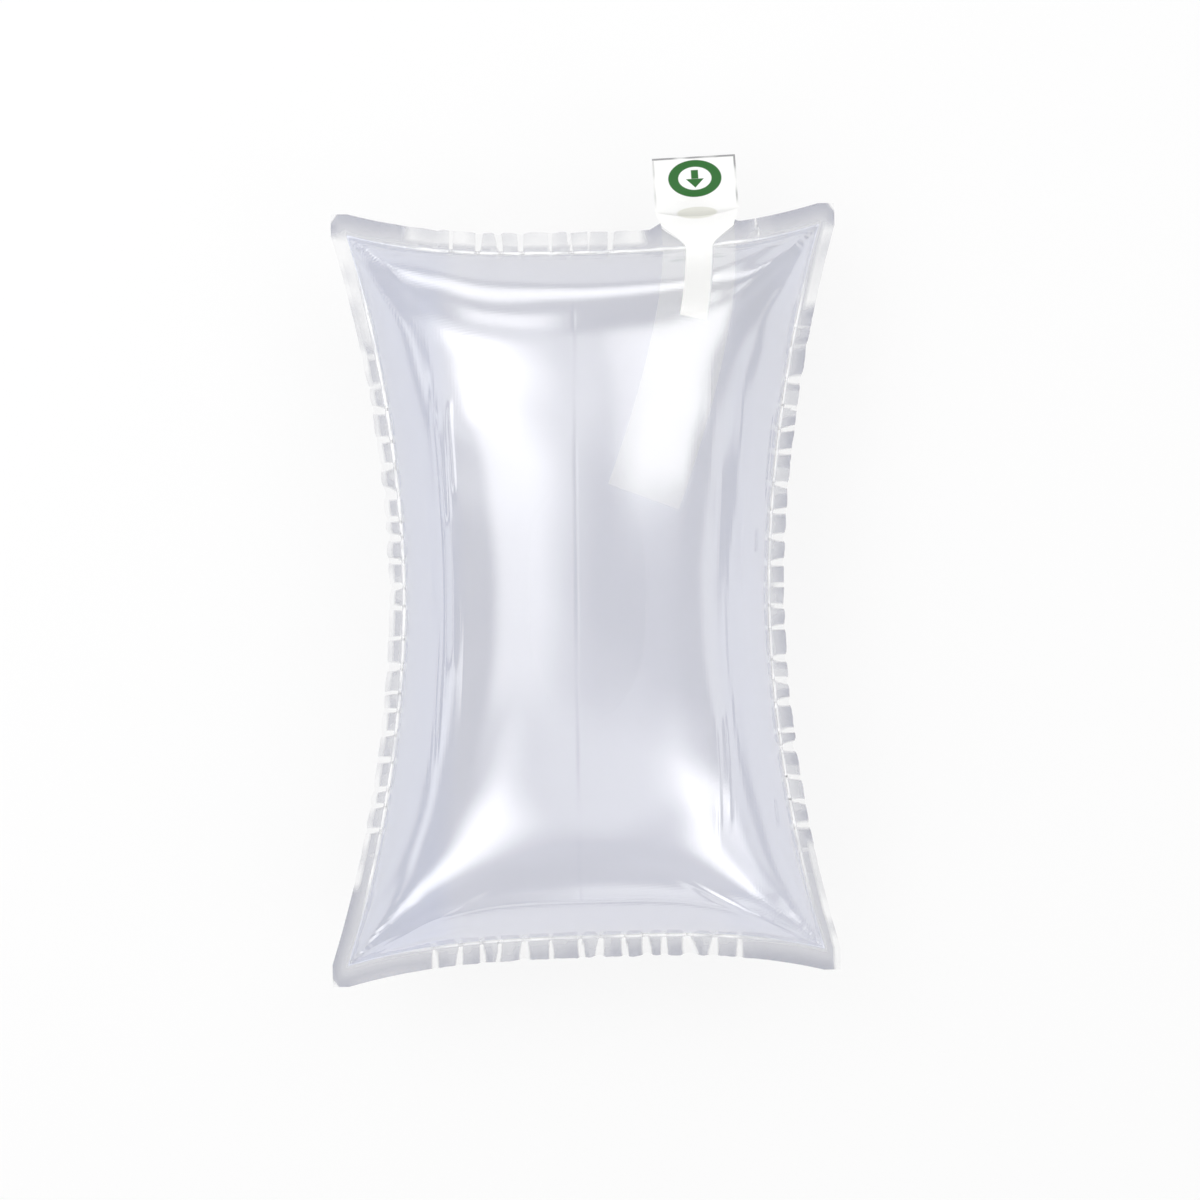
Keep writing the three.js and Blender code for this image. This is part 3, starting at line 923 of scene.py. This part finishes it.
CENTRE_ENDS = (0.085, 0.105)  # distances from the middle between which the centre crease's painted shade dies out
CENTRE_SHADE = 0.6
LEAST_WEAR = 0.3  # least height of a crease where its height varies
CONE_ANGLE = 0.96  # the crease along the lower edge of a low corner's cone
CONE_WIDTH = 0.022
CONE_HEIGHT = 0.012
CONE_START = (0.002, 0.010)  # distances from the corner between which it starts, and dies out
CONE_END = (0.050, 0.085)
LEFT_CONE = 0.5  # height of the left one to the right one
MIDDLE_STEP = (-0.001, 0.001)
LINE_WIDTH = 0.0007
LINE_ENDS = (0.5, 1.0)  # shares of an upright line's half length between which it dies out
TOP_LINES = ((0.0060, 0.00010), (0.0088, -0.00028), (0.0160, 0.00008))  # distance from the seal, height
BOTTOM_LINES = ((0.0270, 0.00006), (0.0360, 0.00009))
UPRIGHT_LINES = (  # place across, middle along, half length, half width, height
    (-0.0555, 0.010, 0.075, 0.0008, 0.00028),
    (-0.0505, 0.002, 0.030, 0.0020, 0.00050),
    (-0.0530, 0.045, 0.024, 0.0012, 0.00030),
    (-0.0480, 0.052, 0.020, 0.0010, 0.00030),
    (0.0465, -0.066, 0.026, 0.0009, 0.00020),
    (0.0505, -0.062, 0.024, 0.0009, 0.00020),
    (0.0720, 0.019, 0.006, 0.0009, 0.00050),
    (0.0735, -0.082, 0.007, 0.0008, 0.00050),
    (0.0780, 0.050, 0.018, 0.0008, 0.00050),
)
PRINT_BLUR = 0.00012
CHANNEL_HALF = 0.0049  # half the white channel's width inside the bag
CHANNEL_REACH = 0.028  # how far it runs inside the weld
CHANNEL_END = 0.002  # length over which the front sheet clears above it
MARK_HEIGHT = 0.0178  # the mark's centre above the sheets' edge
RING_RADIUS = 0.0056
RING_HALF = 0.0013
RING_SQUASH = 0.50
ARROW_HALF = 0.0013
ARROW_TOP = 0.0031
ARROW_NECK = -0.0002
ARROW_TIP = -0.0035
EDGE_SHADE_WIDTH = 0.0007  # width of the painted shade along the tab's sealed edges
EDGE_SHADE_COVER = 0.9
EDGE_SHADE_LEFT = 0.4  # strength of its left stretch
EDGE_SHADE_GRAIN = 90.0
EDGE_SHADE_BREAKS = (0.3, 0.5)  # noise between which the painted shade comes and goes
# painted shade in the valve's open mouth, an ellipse below the lip
MOUTH_SHADE_ACROSS = 0.0077
MOUTH_SHADE_ALONG = 0.0024
MOUTH_SHADE_SUNK = 0.4  # how far the painted shade's middle lies below the lip, in MOUTH_SHADE_ALONG
MOUTH_SHADE_RIM = (0.85, 1.05)
MOUTH_SHADE_COVER = 0.85
VALVE_ROUGHNESS = 0.35
VALVE_IOR = 1.35
VALVE_COAT = 0.1
VALVE_COAT_ROUGHNESS = 0.25
VALVE_COAT_IOR = 3.0


def seen_once(wire, cover):
    """Alpha of a thin film: its near face carries it all, and its far face adds nothing."""
    backfacing = wire.node("ShaderNodeNewGeometry", None, None, output="Backfacing")
    return cover * (1 - backfacing)


def clear_film(name, settings, pillow, side):
    """Glossy clear film with a faint haze, greyer and duller where welded, a painted highlight on the weld line
    and painted shade.
    """
    finish, sheets, folds = settings.finish, settings.sheets, settings.folds
    front = side > 0
    film, weld = (finish.front_film, finish.front_weld) if front else (finish.back_film, finish.back_weld)
    film_cover = finish.front_cover if front else finish.back_cover
    weld_cover = finish.front_weld_cover if front else finish.back_weld_cover
    material, wire, output = new_material(name)
    x, y, _ = wire.attribute("flat").split()
    uneven, crease_unevenness, _ = wire.attribute("unevenness").split()
    beyond_side = abs(x) - (sheets.width / 2 - sheets.side_seal)
    beyond_end = abs(y) - (sheets.length / 2 - sheets.end_seal)
    beyond = beyond_side.at_least(beyond_end)
    welded = beyond.step(0.0, SEAM)

    def toned(value, least, added):
        return value * added + least

    to_corner = wire.math("SQRT", beyond_side * beyond_side + beyond_end * beyond_end)
    # painted highlight along the weld line, fading out near the corners
    line = (1 - abs(beyond).step(WELD_HIGHLIGHT_WIDTH * 0.5, WELD_HIGHLIGHT_WIDTH)) * to_corner.step(*WELD_HIGHLIGHT_START)
    white = (line * toned(uneven, *WELD_HIGHLIGHT_TONES)).at_most(1.0)
    out_side, out_end = beyond_side / sheets.side_seal, beyond_end / sheets.end_seal
    bare = bare_band(x, y, out_side, out_end, pillow) * toned(uneven, *BARE_TONES)
    pinched = wire.attribute("pinch", "Fac").step(*BARE_PINCH).at_least(wire.attribute("pale", "Fac"))
    bare = pinched.at_least(bare).at_most(1.0) * welded
    if front:
        # painted shade along the centre crease, darker or lighter at random along it
        groove = ridge(wire, x - folds.centre_place, CENTRE_WIDTH) * (1 - abs(y).step(*CENTRE_ENDS))
        film = (groove * crease_unevenness).blend(rgba(film), rgba([v * CENTRE_SHADE for v in film]))
    else:
        # painted shade: the back sheet darker and bluer down the flanks, less so on the right
        flank = abs(x).step(*FLANK_SHADE_STEP) * (1 - x.step(*RIGHT_SHADE_STEP) * RIGHT_SHADE_LOSS)
        film = flank.blend(rgba(film), rgba(finish.flank_shade_film))
    outer = out_side.at_least(out_end).step(*WELD_EDGE)
    hides = film_cover + welded * (weld_cover * toned(outer, *WELD_TONES) - film_cover)
    hides = hides * (1 - bare * BARE_LOSS)
    hides = hides + white * (finish.weld_highlight_cover - hides)
    inputs = {
        "Base Color": white.blend(welded.blend(film, rgba(weld)), rgba(finish.bright)),
        "Roughness": finish.roughness + welded * (finish.weld_roughness - finish.roughness),
        "Metallic": (1 - welded) * (FRONT_SHEEN if front else BACK_SHEEN),
    }
    if front:
        hides = hides * (1 - over_print(wire, settings, pillow))
        bump = {"Height": fine_creases(wire, x, y, crease_unevenness, pillow, folds), "Distance": 1.0, "Strength": 1.0}
        inputs["Normal"] = wire.node("ShaderNodeBump", None, bump)
    inputs["Alpha"] = seen_once(wire, hides)
    shader = wire.node("ShaderNodeBsdfPrincipled", None, inputs)
    wire.tree.links.new(shader.socket, output.inputs["Surface"])
    return material


def between(value, low, high, soft):
    """1 where a value lies from low to high, with soft ends outside them."""
    return value.step(low - soft, low) * (1 - value.step(high, high + soft))


def bare_band(x, y, out_side, out_end, pillow):
    """How far each listed place of the sealed band is cleared so that it hardly shows, from 0 to 1."""
    half_x, half_y = (float(v) for v in pillow.half)
    sides = {
        "left": ((-1 * x).step(half_x, half_x + SEAM), y, out_side),
        "right": (x.step(half_x, half_x + SEAM), y, out_side),
        "bottom": ((-1 * y).step(half_y, half_y + SEAM), x, out_end),
        "top": (y.step(half_y, half_y + SEAM), x, out_end),
    }
    total = (out_side.at_least(0.0) + out_end.at_least(0.0)).step(*BARE_EARS)
    for side, low, high, edge, share in BARE_STRETCHES:
        band, run, out = sides[side]
        total = total.at_least(band * between(run, low, high, BARE_SOFT) * out.step(*edge) * share)
    return total


def ridge(wire, distance, width):
    """A smooth ridge, 1 high, where a distance is nothing."""
    share = distance / width
    return wire.math("EXPONENT", 0 - share * share)


def fine_creases(wire, x, y, crease_unevenness, pillow, folds):
    """Height of the creases that are too fine for the mesh, in metres."""
    half_x, half_y = (float(v) for v in pillow.half)
    from_side = half_x - abs(x)
    from_end = half_y - abs(y)
    away = wire.math("SQRT", from_side * from_side + from_end * from_end)
    angle = wire.math("ARCTAN2", from_side, from_end)
    low_corner = (0 - y).step(*MIDDLE_STEP) * (x.step(*MIDDLE_STEP) * (1 - LEFT_CONE) + LEFT_CONE)
    run = away.step(*CONE_START) * (1 - away.step(*CONE_END))
    height = ridge(wire, angle - CONE_ANGLE, CONE_WIDTH) * away * run * low_corner * CONE_HEIGHT

    outer = abs(x) / half_x
    top_bend = 1 - wire.math("POWER", outer, TOP_BOW)
    bottom_bend = 1 - wire.math("POWER", outer, BOTTOM_BOW)
    rubbed = crease_unevenness + LEAST_WEAR
    for depth, bend, tall in (
        *((half_y - y, top_bend * place, tall) for place, tall in TOP_LINES),
        *((half_y + y, bottom_bend * place, tall) for place, tall in BOTTOM_LINES),
    ):
        height = height + ridge(wire, depth - bend, LINE_WIDTH) * rubbed * tall
    for place, middle, half, width, tall in UPRIGHT_LINES:
        ends = 1 - (abs(y - middle) / half).step(*LINE_ENDS)
        height = height + ridge(wire, x - place, width) * ends * tall
    groove = ridge(wire, x - folds.centre_place, CENTRE_WIDTH)
    return height - groove * rubbed * folds.centre_crease


def over_print(wire, settings, pillow):
    """1 where the front sheet lies on the valve's printed funnel and channel, which show through it."""
    sheets, valve = settings.sheets, settings.valve
    place = wire.node("ShaderNodeTexCoord", None, None, output="Object")
    across, along, _ = place.split()
    weld = pillow.end_seam(valve.offset)
    edge = weld + sheets.end_seal
    run = ((weld - along) / valve.tail_length).at_least(0.0)
    centre = valve.offset - wire.math("POWER", run, valve.swing_bow) * valve.tail_swing
    funnel = along.step(weld, edge + valve.mouth_height * 0.5)
    half = CHANNEL_HALF + funnel * (valve.tab_width / 2 - CHANNEL_HALF)
    end = weld - CHANNEL_REACH
    return inside_of(abs(across - centre) - half) * along.step(end, end + CHANNEL_END)


def inside_of(distance):
    """1 where a signed distance in metres is below nothing, with a soft edge of print."""
    return 1 - distance.step(-PRINT_BLUR, PRINT_BLUR)


def valve_film(settings):
    """Milky valve film with a white printed tab, funnel, channel and green mark, and painted shade in the mouth
    and along the tab's edges.
    """
    finish, sheets, valve = settings.finish, settings.sheets, settings.valve
    material, wire, output = new_material("Valve film")
    flat = wire.attribute("flat")
    across, along, _ = flat.split()
    funnel = along.step(-sheets.end_seal, valve.mouth_height * 0.5)
    channel = CHANNEL_HALF + funnel * (valve.tab_width / 2 + PRINT_BLUR - CHANNEL_HALF)
    printed = inside_of(abs(across) - channel) * (1 - inside_of(along + sheets.end_seal + CHANNEL_REACH))

    mark = along - MARK_HEIGHT
    from_mark = wire.math("SQRT", across * across * RING_SQUASH + mark * mark)
    ring = inside_of(abs(from_mark - RING_RADIUS) - RING_HALF)
    shaft = inside_of((abs(across) - ARROW_HALF).at_least(mark - ARROW_TOP).at_least(ARROW_NECK - mark))
    head = inside_of((abs(across) - (mark - ARROW_TIP)).at_least(mark - ARROW_NECK))
    green = ring.at_least(shaft).at_least(head)

    # painted shade inside the valve's open mouth
    lip = along - (valve.mouth_height - MOUTH_SHADE_ALONG * MOUTH_SHADE_SUNK)
    bare = wire.math("SQRT", across * across / MOUTH_SHADE_ACROSS**2 + lip * lip / MOUTH_SHADE_ALONG**2)
    mouth = 1 - bare.step(*MOUTH_SHADE_RIM)
    half = valve.tab_width / 2
    # painted shade along the tab's top and side edges, broken up by noise
    top, right, left = (
        1 - inside_of(distance + EDGE_SHADE_WIDTH)
        for distance in (along - valve.tab_length, across - half, 0 - across - half)
    )
    line = top.at_least(right).at_least(left * EDGE_SHADE_LEFT)
    line = line * along.step(valve.mouth_height, valve.mouth_height * 2)
    grain = {"Vector": flat, "Scale": EDGE_SHADE_GRAIN, "Detail": 1.0}
    line = line * wire.node("ShaderNodeTexNoise", None, grain).step(*EDGE_SHADE_BREAKS)
    ground = printed.blend(rgba(finish.milky), rgba(finish.print_white))
    edge_shaded = (line * EDGE_SHADE_COVER).blend(ground, rgba(finish.tab_edge_shade))
    mouth_shaded = (mouth * MOUTH_SHADE_COVER).blend(edge_shaded, rgba(finish.mouth))
    shader = wire.node("ShaderNodeBsdfPrincipled", None, {
        "Base Color": green.blend(mouth_shaded, rgba(finish.print_green)),
        "Roughness": VALVE_ROUGHNESS,
        "IOR": VALVE_IOR,
        "Coat Weight": (1 - printed) * VALVE_COAT,
        "Coat Roughness": VALVE_COAT_ROUGHNESS,
        "Coat IOR": VALVE_COAT_IOR,
        "Alpha": seen_once(wire, finish.milky_cover + printed * (finish.print_cover - finish.milky_cover)),
    })
    wire.tree.links.new(shader.socket, output.inputs["Surface"])
    return material


# Studio

SOFT_BOXES = (  # name, place, aim or None for straight down, size, turn in degrees, share of the key light,
    # widths of the edges that dim towards its sides and ends
    ("left_key", (-0.90, 0.44, 0.80), None, (2.00, 0.80), 0, 0.38, (0.30, 0.16)),
    ("left_column", (-0.40, 0.08, 0.79), None, (0.90, 0.78), 0, 0.62, (0.30, 0.30)),
    ("left_core", (-0.55, 0.42, 0.78), None, (0.90, 0.40), 0, 0.80, (0.30, 0.15)),
    ("left_far", (-0.32, 1.05, 0.77), None, (0.60, 0.76), 0, 0.9, (0.20, 0.25)),
    ("right_key", (0.46, 0.47, 0.80), None, (0.84, 0.86), 0, 0.82, (0.22, 0.18)),
    ("right_far", (0.50, 1.17, 0.79), None, (0.16, 0.60), 0, 1.0, (0.06, 0.12)),
    ("right_edge", (0.77, 1.20, 0.78), None, (0.18, 0.50), 0, 1.0, (0.06, 0.10)),
    ("gap_fill", (0.06, 0.50, 0.77), None, (0.30, 0.70), 0, 0.3, (0.10, 0.20)),
    ("low_fill", (0.02, -0.30, 0.76), None, (0.70, 0.50), 0, 0.3, (0.25, 0.20)),
    ("left_low", (-0.70, -0.56, 0.80), None, (1.20, 0.50), 27, 1.1, (0.30, 0.20)),
    ("left_corner", (-1.48, -0.96, 0.79), None, (1.10, 0.60), 27, 1.0, (0.20, 0.15)),
    ("right_low", (0.94, -0.34, 0.80), None, (1.60, 0.34), -3, 1.0, (0.40, 0.14)),
    ("right_corner", (0.92, -0.86, 0.79), None, (1.40, 0.42), -46, 1.0, (0.20, 0.15)),
    ("right_fill", (1.25, -0.68, 0.78), None, (1.10, 0.60), 0, 0.5, (0.25, 0.20)),
    ("left_horizon", (-1.9, -1.20, 0.42), (0, 0, 0.08), (0.60, 0.55), 0, 1.0, (0.10, 0.10)),
    ("right_horizon", (1.9, -1.30, 0.42), (0, 0, 0.08), (0.60, 0.55), 0, 1.0, (0.10, 0.10)),
    ("left_side", (-1.50, 0.05, 0.38), (0, 0.0, 0.05), (0.90, 0.25), 0, 0.60, (0.20, 0.05)),
    ("right_side", (1.60, 0.00, 0.60), (0, 0.0, 0.05), (1.00, 0.60), 0, 0.32, (0.20, 0.15)),
    ("far_side", (-0.3, 1.60, 0.42), (0, 0.1, 0.05), (2.30, 0.40), 0, 1.1, (0.40, 0.12)),
    ("near_side", (0.4, -1.60, 0.50), (0, 0.0, 0.05), (1.60, 0.50), 0, 0.4, (0.50, 0.15)),
)
FLOOR_HALF = 20.0
FLOOR_PAINT = (0.95, 0.95, 0.95, 1.0)
FLOOR_GAP = 0.0002  # keeps the floor clear of the film that lies on it
FLOOR_WHITE = 0.8  # share of the floor's white that no shadow reaches


def dim_edges(lamp, edges):
    """Makes a soft box dim towards its sides and its ends, as its cloth does."""
    lamp.use_nodes = True
    tree = lamp.node_tree
    tree.nodes.clear()
    wire = Wire(tree)
    across, along, _ = wire.node("ShaderNodeNewGeometry", None, None, output="Parametric").split()
    from_side = across.at_most(1 - across) * lamp.size
    from_end = along.at_most(1 - along) * lamp.size_y
    light = from_side.step(0.0, edges[0]) * from_end.step(0.0, edges[1])
    glow = wire.node("ShaderNodeEmission", None, {"Strength": light})
    tree.links.new(glow.socket, tree.nodes.new("ShaderNodeOutputLight").inputs["Surface"])


def seen_ray(wire):
    """1 for rays from the camera, or by way of a mirror or glass, and 0 for light."""
    path = wire.node("ShaderNodeLightPath").socket.node
    camera, glossy, through = (
        Wire(wire.tree, path.outputs[name])
        for name in ("Is Camera Ray", "Is Glossy Ray", "Is Transmission Ray")
    )
    return camera.at_least(glossy).at_least(through)


# Operators

_pillows = {}


def pillow_of(settings):
    """The inflated chamber, blown up once for all the pieces that follow it."""
    if "pillow" not in _pillows:
        _pillows["pillow"] = Pillow(settings.sheets)
    return _pillows["pillow"]


class AIRPILLOW_OT_sheets(bpy.types.Operator):
    """Blow the chamber up and make the front and back sheets with their gathered seals"""

    bl_idname = "airpillow.sheets"
    bl_label = "Film Sheets"

    def execute(self, context):
        settings = context.scene.air_pillow
        pillow = pillow_of(settings)
        for name, side, node in (("front_film", 1, "front_sheet"), ("back_film", -1, "back_sheet")):
            obj = add_object(name, film_sheet(name, side, pillow, settings))
            material = clear_film(name, settings, pillow, side)
            gather(obj, gather_tree(material), pillow, settings)
            finish_piece(obj, node)
            # The clear front hardly shades what lies under it, and leaving that out shortens the render
            obj.visible_shadow = side < 0
            obj.visible_diffuse = side < 0
        return {"FINISHED"}


class AIRPILLOW_OT_valve(bpy.types.Operator):
    """Make the two plies of the flat valve, through the top seal and under the front sheet"""

    bl_idname = "airpillow.valve"
    bl_label = "Film Valve"

    def execute(self, context):
        settings = context.scene.air_pillow
        valve = settings.valve
        pillow = pillow_of(settings)
        material = valve_film(settings)
        inside = settings.sheets.end_seal + valve.tail_length
        plies = (
            ("valve_front_film", 1, "valve_front_ply", inside + valve.mouth_height),
            ("valve_back_film", -1, "valve_back_ply", inside + valve.tab_length),
        )
        for name, face, node, long in plies:
            obj = add_object(name, valve_ply(name, face, pillow, settings))
            obj.data.materials.append(material)
            finish_piece(obj, node)
        return {"FINISHED"}


class AIRPILLOW_OT_studio(bpy.types.Operator):
    """Set the pale floor, the soft boxes, the even sky and the camera that looks straight down"""

    bl_idname = "airpillow.studio"
    bl_label = "Studio"

    def execute(self, context):
        scene = context.scene
        studio = scene.air_pillow.studio
        self.camera(scene, studio)
        self.lamps(studio)
        self.floor()
        self.sky(scene, studio)
        scene.view_settings.view_transform = "Standard"
        scene.cycles.transparent_max_bounces = 16
        scene.cycles.max_bounces = 1  # keeps a full render under five minutes
        return {"FINISHED"}

    @staticmethod
    def camera(scene, studio):
        data = bpy.data.cameras.new("camera")
        data.lens = studio.lens
        made = add_object("camera", data)
        seals = CAD_HIGH.z / 2
        far = studio.view_width * data.lens / data.sensor_width
        made.location = (studio.view_right, studio.view_up, seals + far)
        made.rotation_euler = (0, 0, studio.roll)
        scene.camera = made

    @staticmethod
    def lamps(studio):
        for name, place, aim, (wide, tall), turn, share, edges in SOFT_BOXES:
            data = bpy.data.lights.new(name, "AREA")
            data.shape = "RECTANGLE"
            data.size = wide
            data.size_y = tall
            data.energy = studio.key_light * share * pi * wide * tall
            dim_edges(data, edges)
            made = add_object(name, data)
            made.location = place
            straight_down = (place[0], place[1], 0.0)
            facing = (Vector(aim or straight_down) - made.location).to_track_quat("-Z", "Y")
            made.rotation_euler = (facing @ Quaternion((0, 0, 1), radians(turn))).to_euler()

    @staticmethod
    def floor():
        mesh = bpy.data.meshes.new("floor")
        sides = ((-1, -1), (1, -1), (1, 1), (-1, 1))
        corners = [(x * FLOOR_HALF, y * FLOOR_HALF, CAD_LOW.z - FLOOR_GAP) for x, y in sides]
        mesh.from_pydata(corners, [], [(0, 1, 2, 3)])
        material, wire, output = new_material("White floor")
        paint = wire.node("ShaderNodeBsdfDiffuse", None, {"Color": FLOOR_PAINT})
        glow = wire.node("ShaderNodeEmission", None, {"Strength": 1.0})
        mixed = wire.node("ShaderNodeMixShader", None, {0: seen_ray(wire) * FLOOR_WHITE, 1: paint, 2: glow})
        wire.tree.links.new(mixed.socket, output.inputs["Surface"])
        mesh.materials.append(material)
        add_object("floor", mesh)

    @staticmethod
    def sky(scene, studio):
        world = bpy.data.worlds.new("sky")
        world.use_nodes = True
        tree = world.node_tree
        tree.nodes.clear()
        wire = Wire(tree)
        even = {"Color": (1.0, 1.0, 1.0, 1.0), "Strength": studio.sky_light}
        light = wire.node("ShaderNodeBackground", None, even)
        tree.links.new(light.socket, tree.nodes.new("ShaderNodeOutputWorld").inputs["Surface"])
        scene.world = world


# Settings, panel and registration


class AirPillowSettings(bpy.types.PropertyGroup):
    """All settings of the bag."""

    sheets: PointerProperty(type=AirPillowSheets)
    gathers: PointerProperty(type=AirPillowGathers)
    folds: PointerProperty(type=AirPillowFolds)
    valve: PointerProperty(type=AirPillowValve)
    finish: PointerProperty(type=AirPillowFinish)
    studio: PointerProperty(type=AirPillowStudio)


class AIRPILLOW_PT_panel(bpy.types.Panel):
    """Lists the bag's settings and steps in the sidebar"""

    bl_label = "Air Pillow Bag"
    bl_idname = "AIRPILLOW_PT_panel"
    bl_space_type = "VIEW_3D"
    bl_region_type = "UI"
    bl_category = "Air Pillow"

    def draw(self, context):
        settings = context.scene.air_pillow
        for title, group, operator in (
            ("Sheets", settings.sheets, None),
            ("Gathers", settings.gathers, None),
            ("Folds", settings.folds, AIRPILLOW_OT_sheets),
            ("Valve", settings.valve, AIRPILLOW_OT_valve),
            ("Finish", settings.finish, None),
            ("Studio", settings.studio, AIRPILLOW_OT_studio),
        ):
            box = self.layout.box()
            box.label(text=title)
            for name in group.__annotations__:
                box.prop(group, name)
            if operator:
                box.operator(operator.bl_idname)


CLASSES = (
    AirPillowSheets,
    AirPillowGathers,
    AirPillowFolds,
    AirPillowValve,
    AirPillowFinish,
    AirPillowStudio,
    AirPillowSettings,
    AIRPILLOW_OT_sheets,
    AIRPILLOW_OT_valve,
    AIRPILLOW_OT_studio,
    AIRPILLOW_PT_panel,
)


def register():
    for cls in CLASSES:
        bpy.utils.register_class(cls)
    bpy.types.Scene.air_pillow = PointerProperty(type=AirPillowSettings)


def unregister():
    del bpy.types.Scene.air_pillow
    for cls in reversed(CLASSES):
        bpy.utils.unregister_class(cls)


def main():
    register()
    bpy.ops.airpillow.sheets()
    bpy.ops.airpillow.valve()
    bpy.ops.airpillow.studio()


if __name__ == "__main__":
    main()
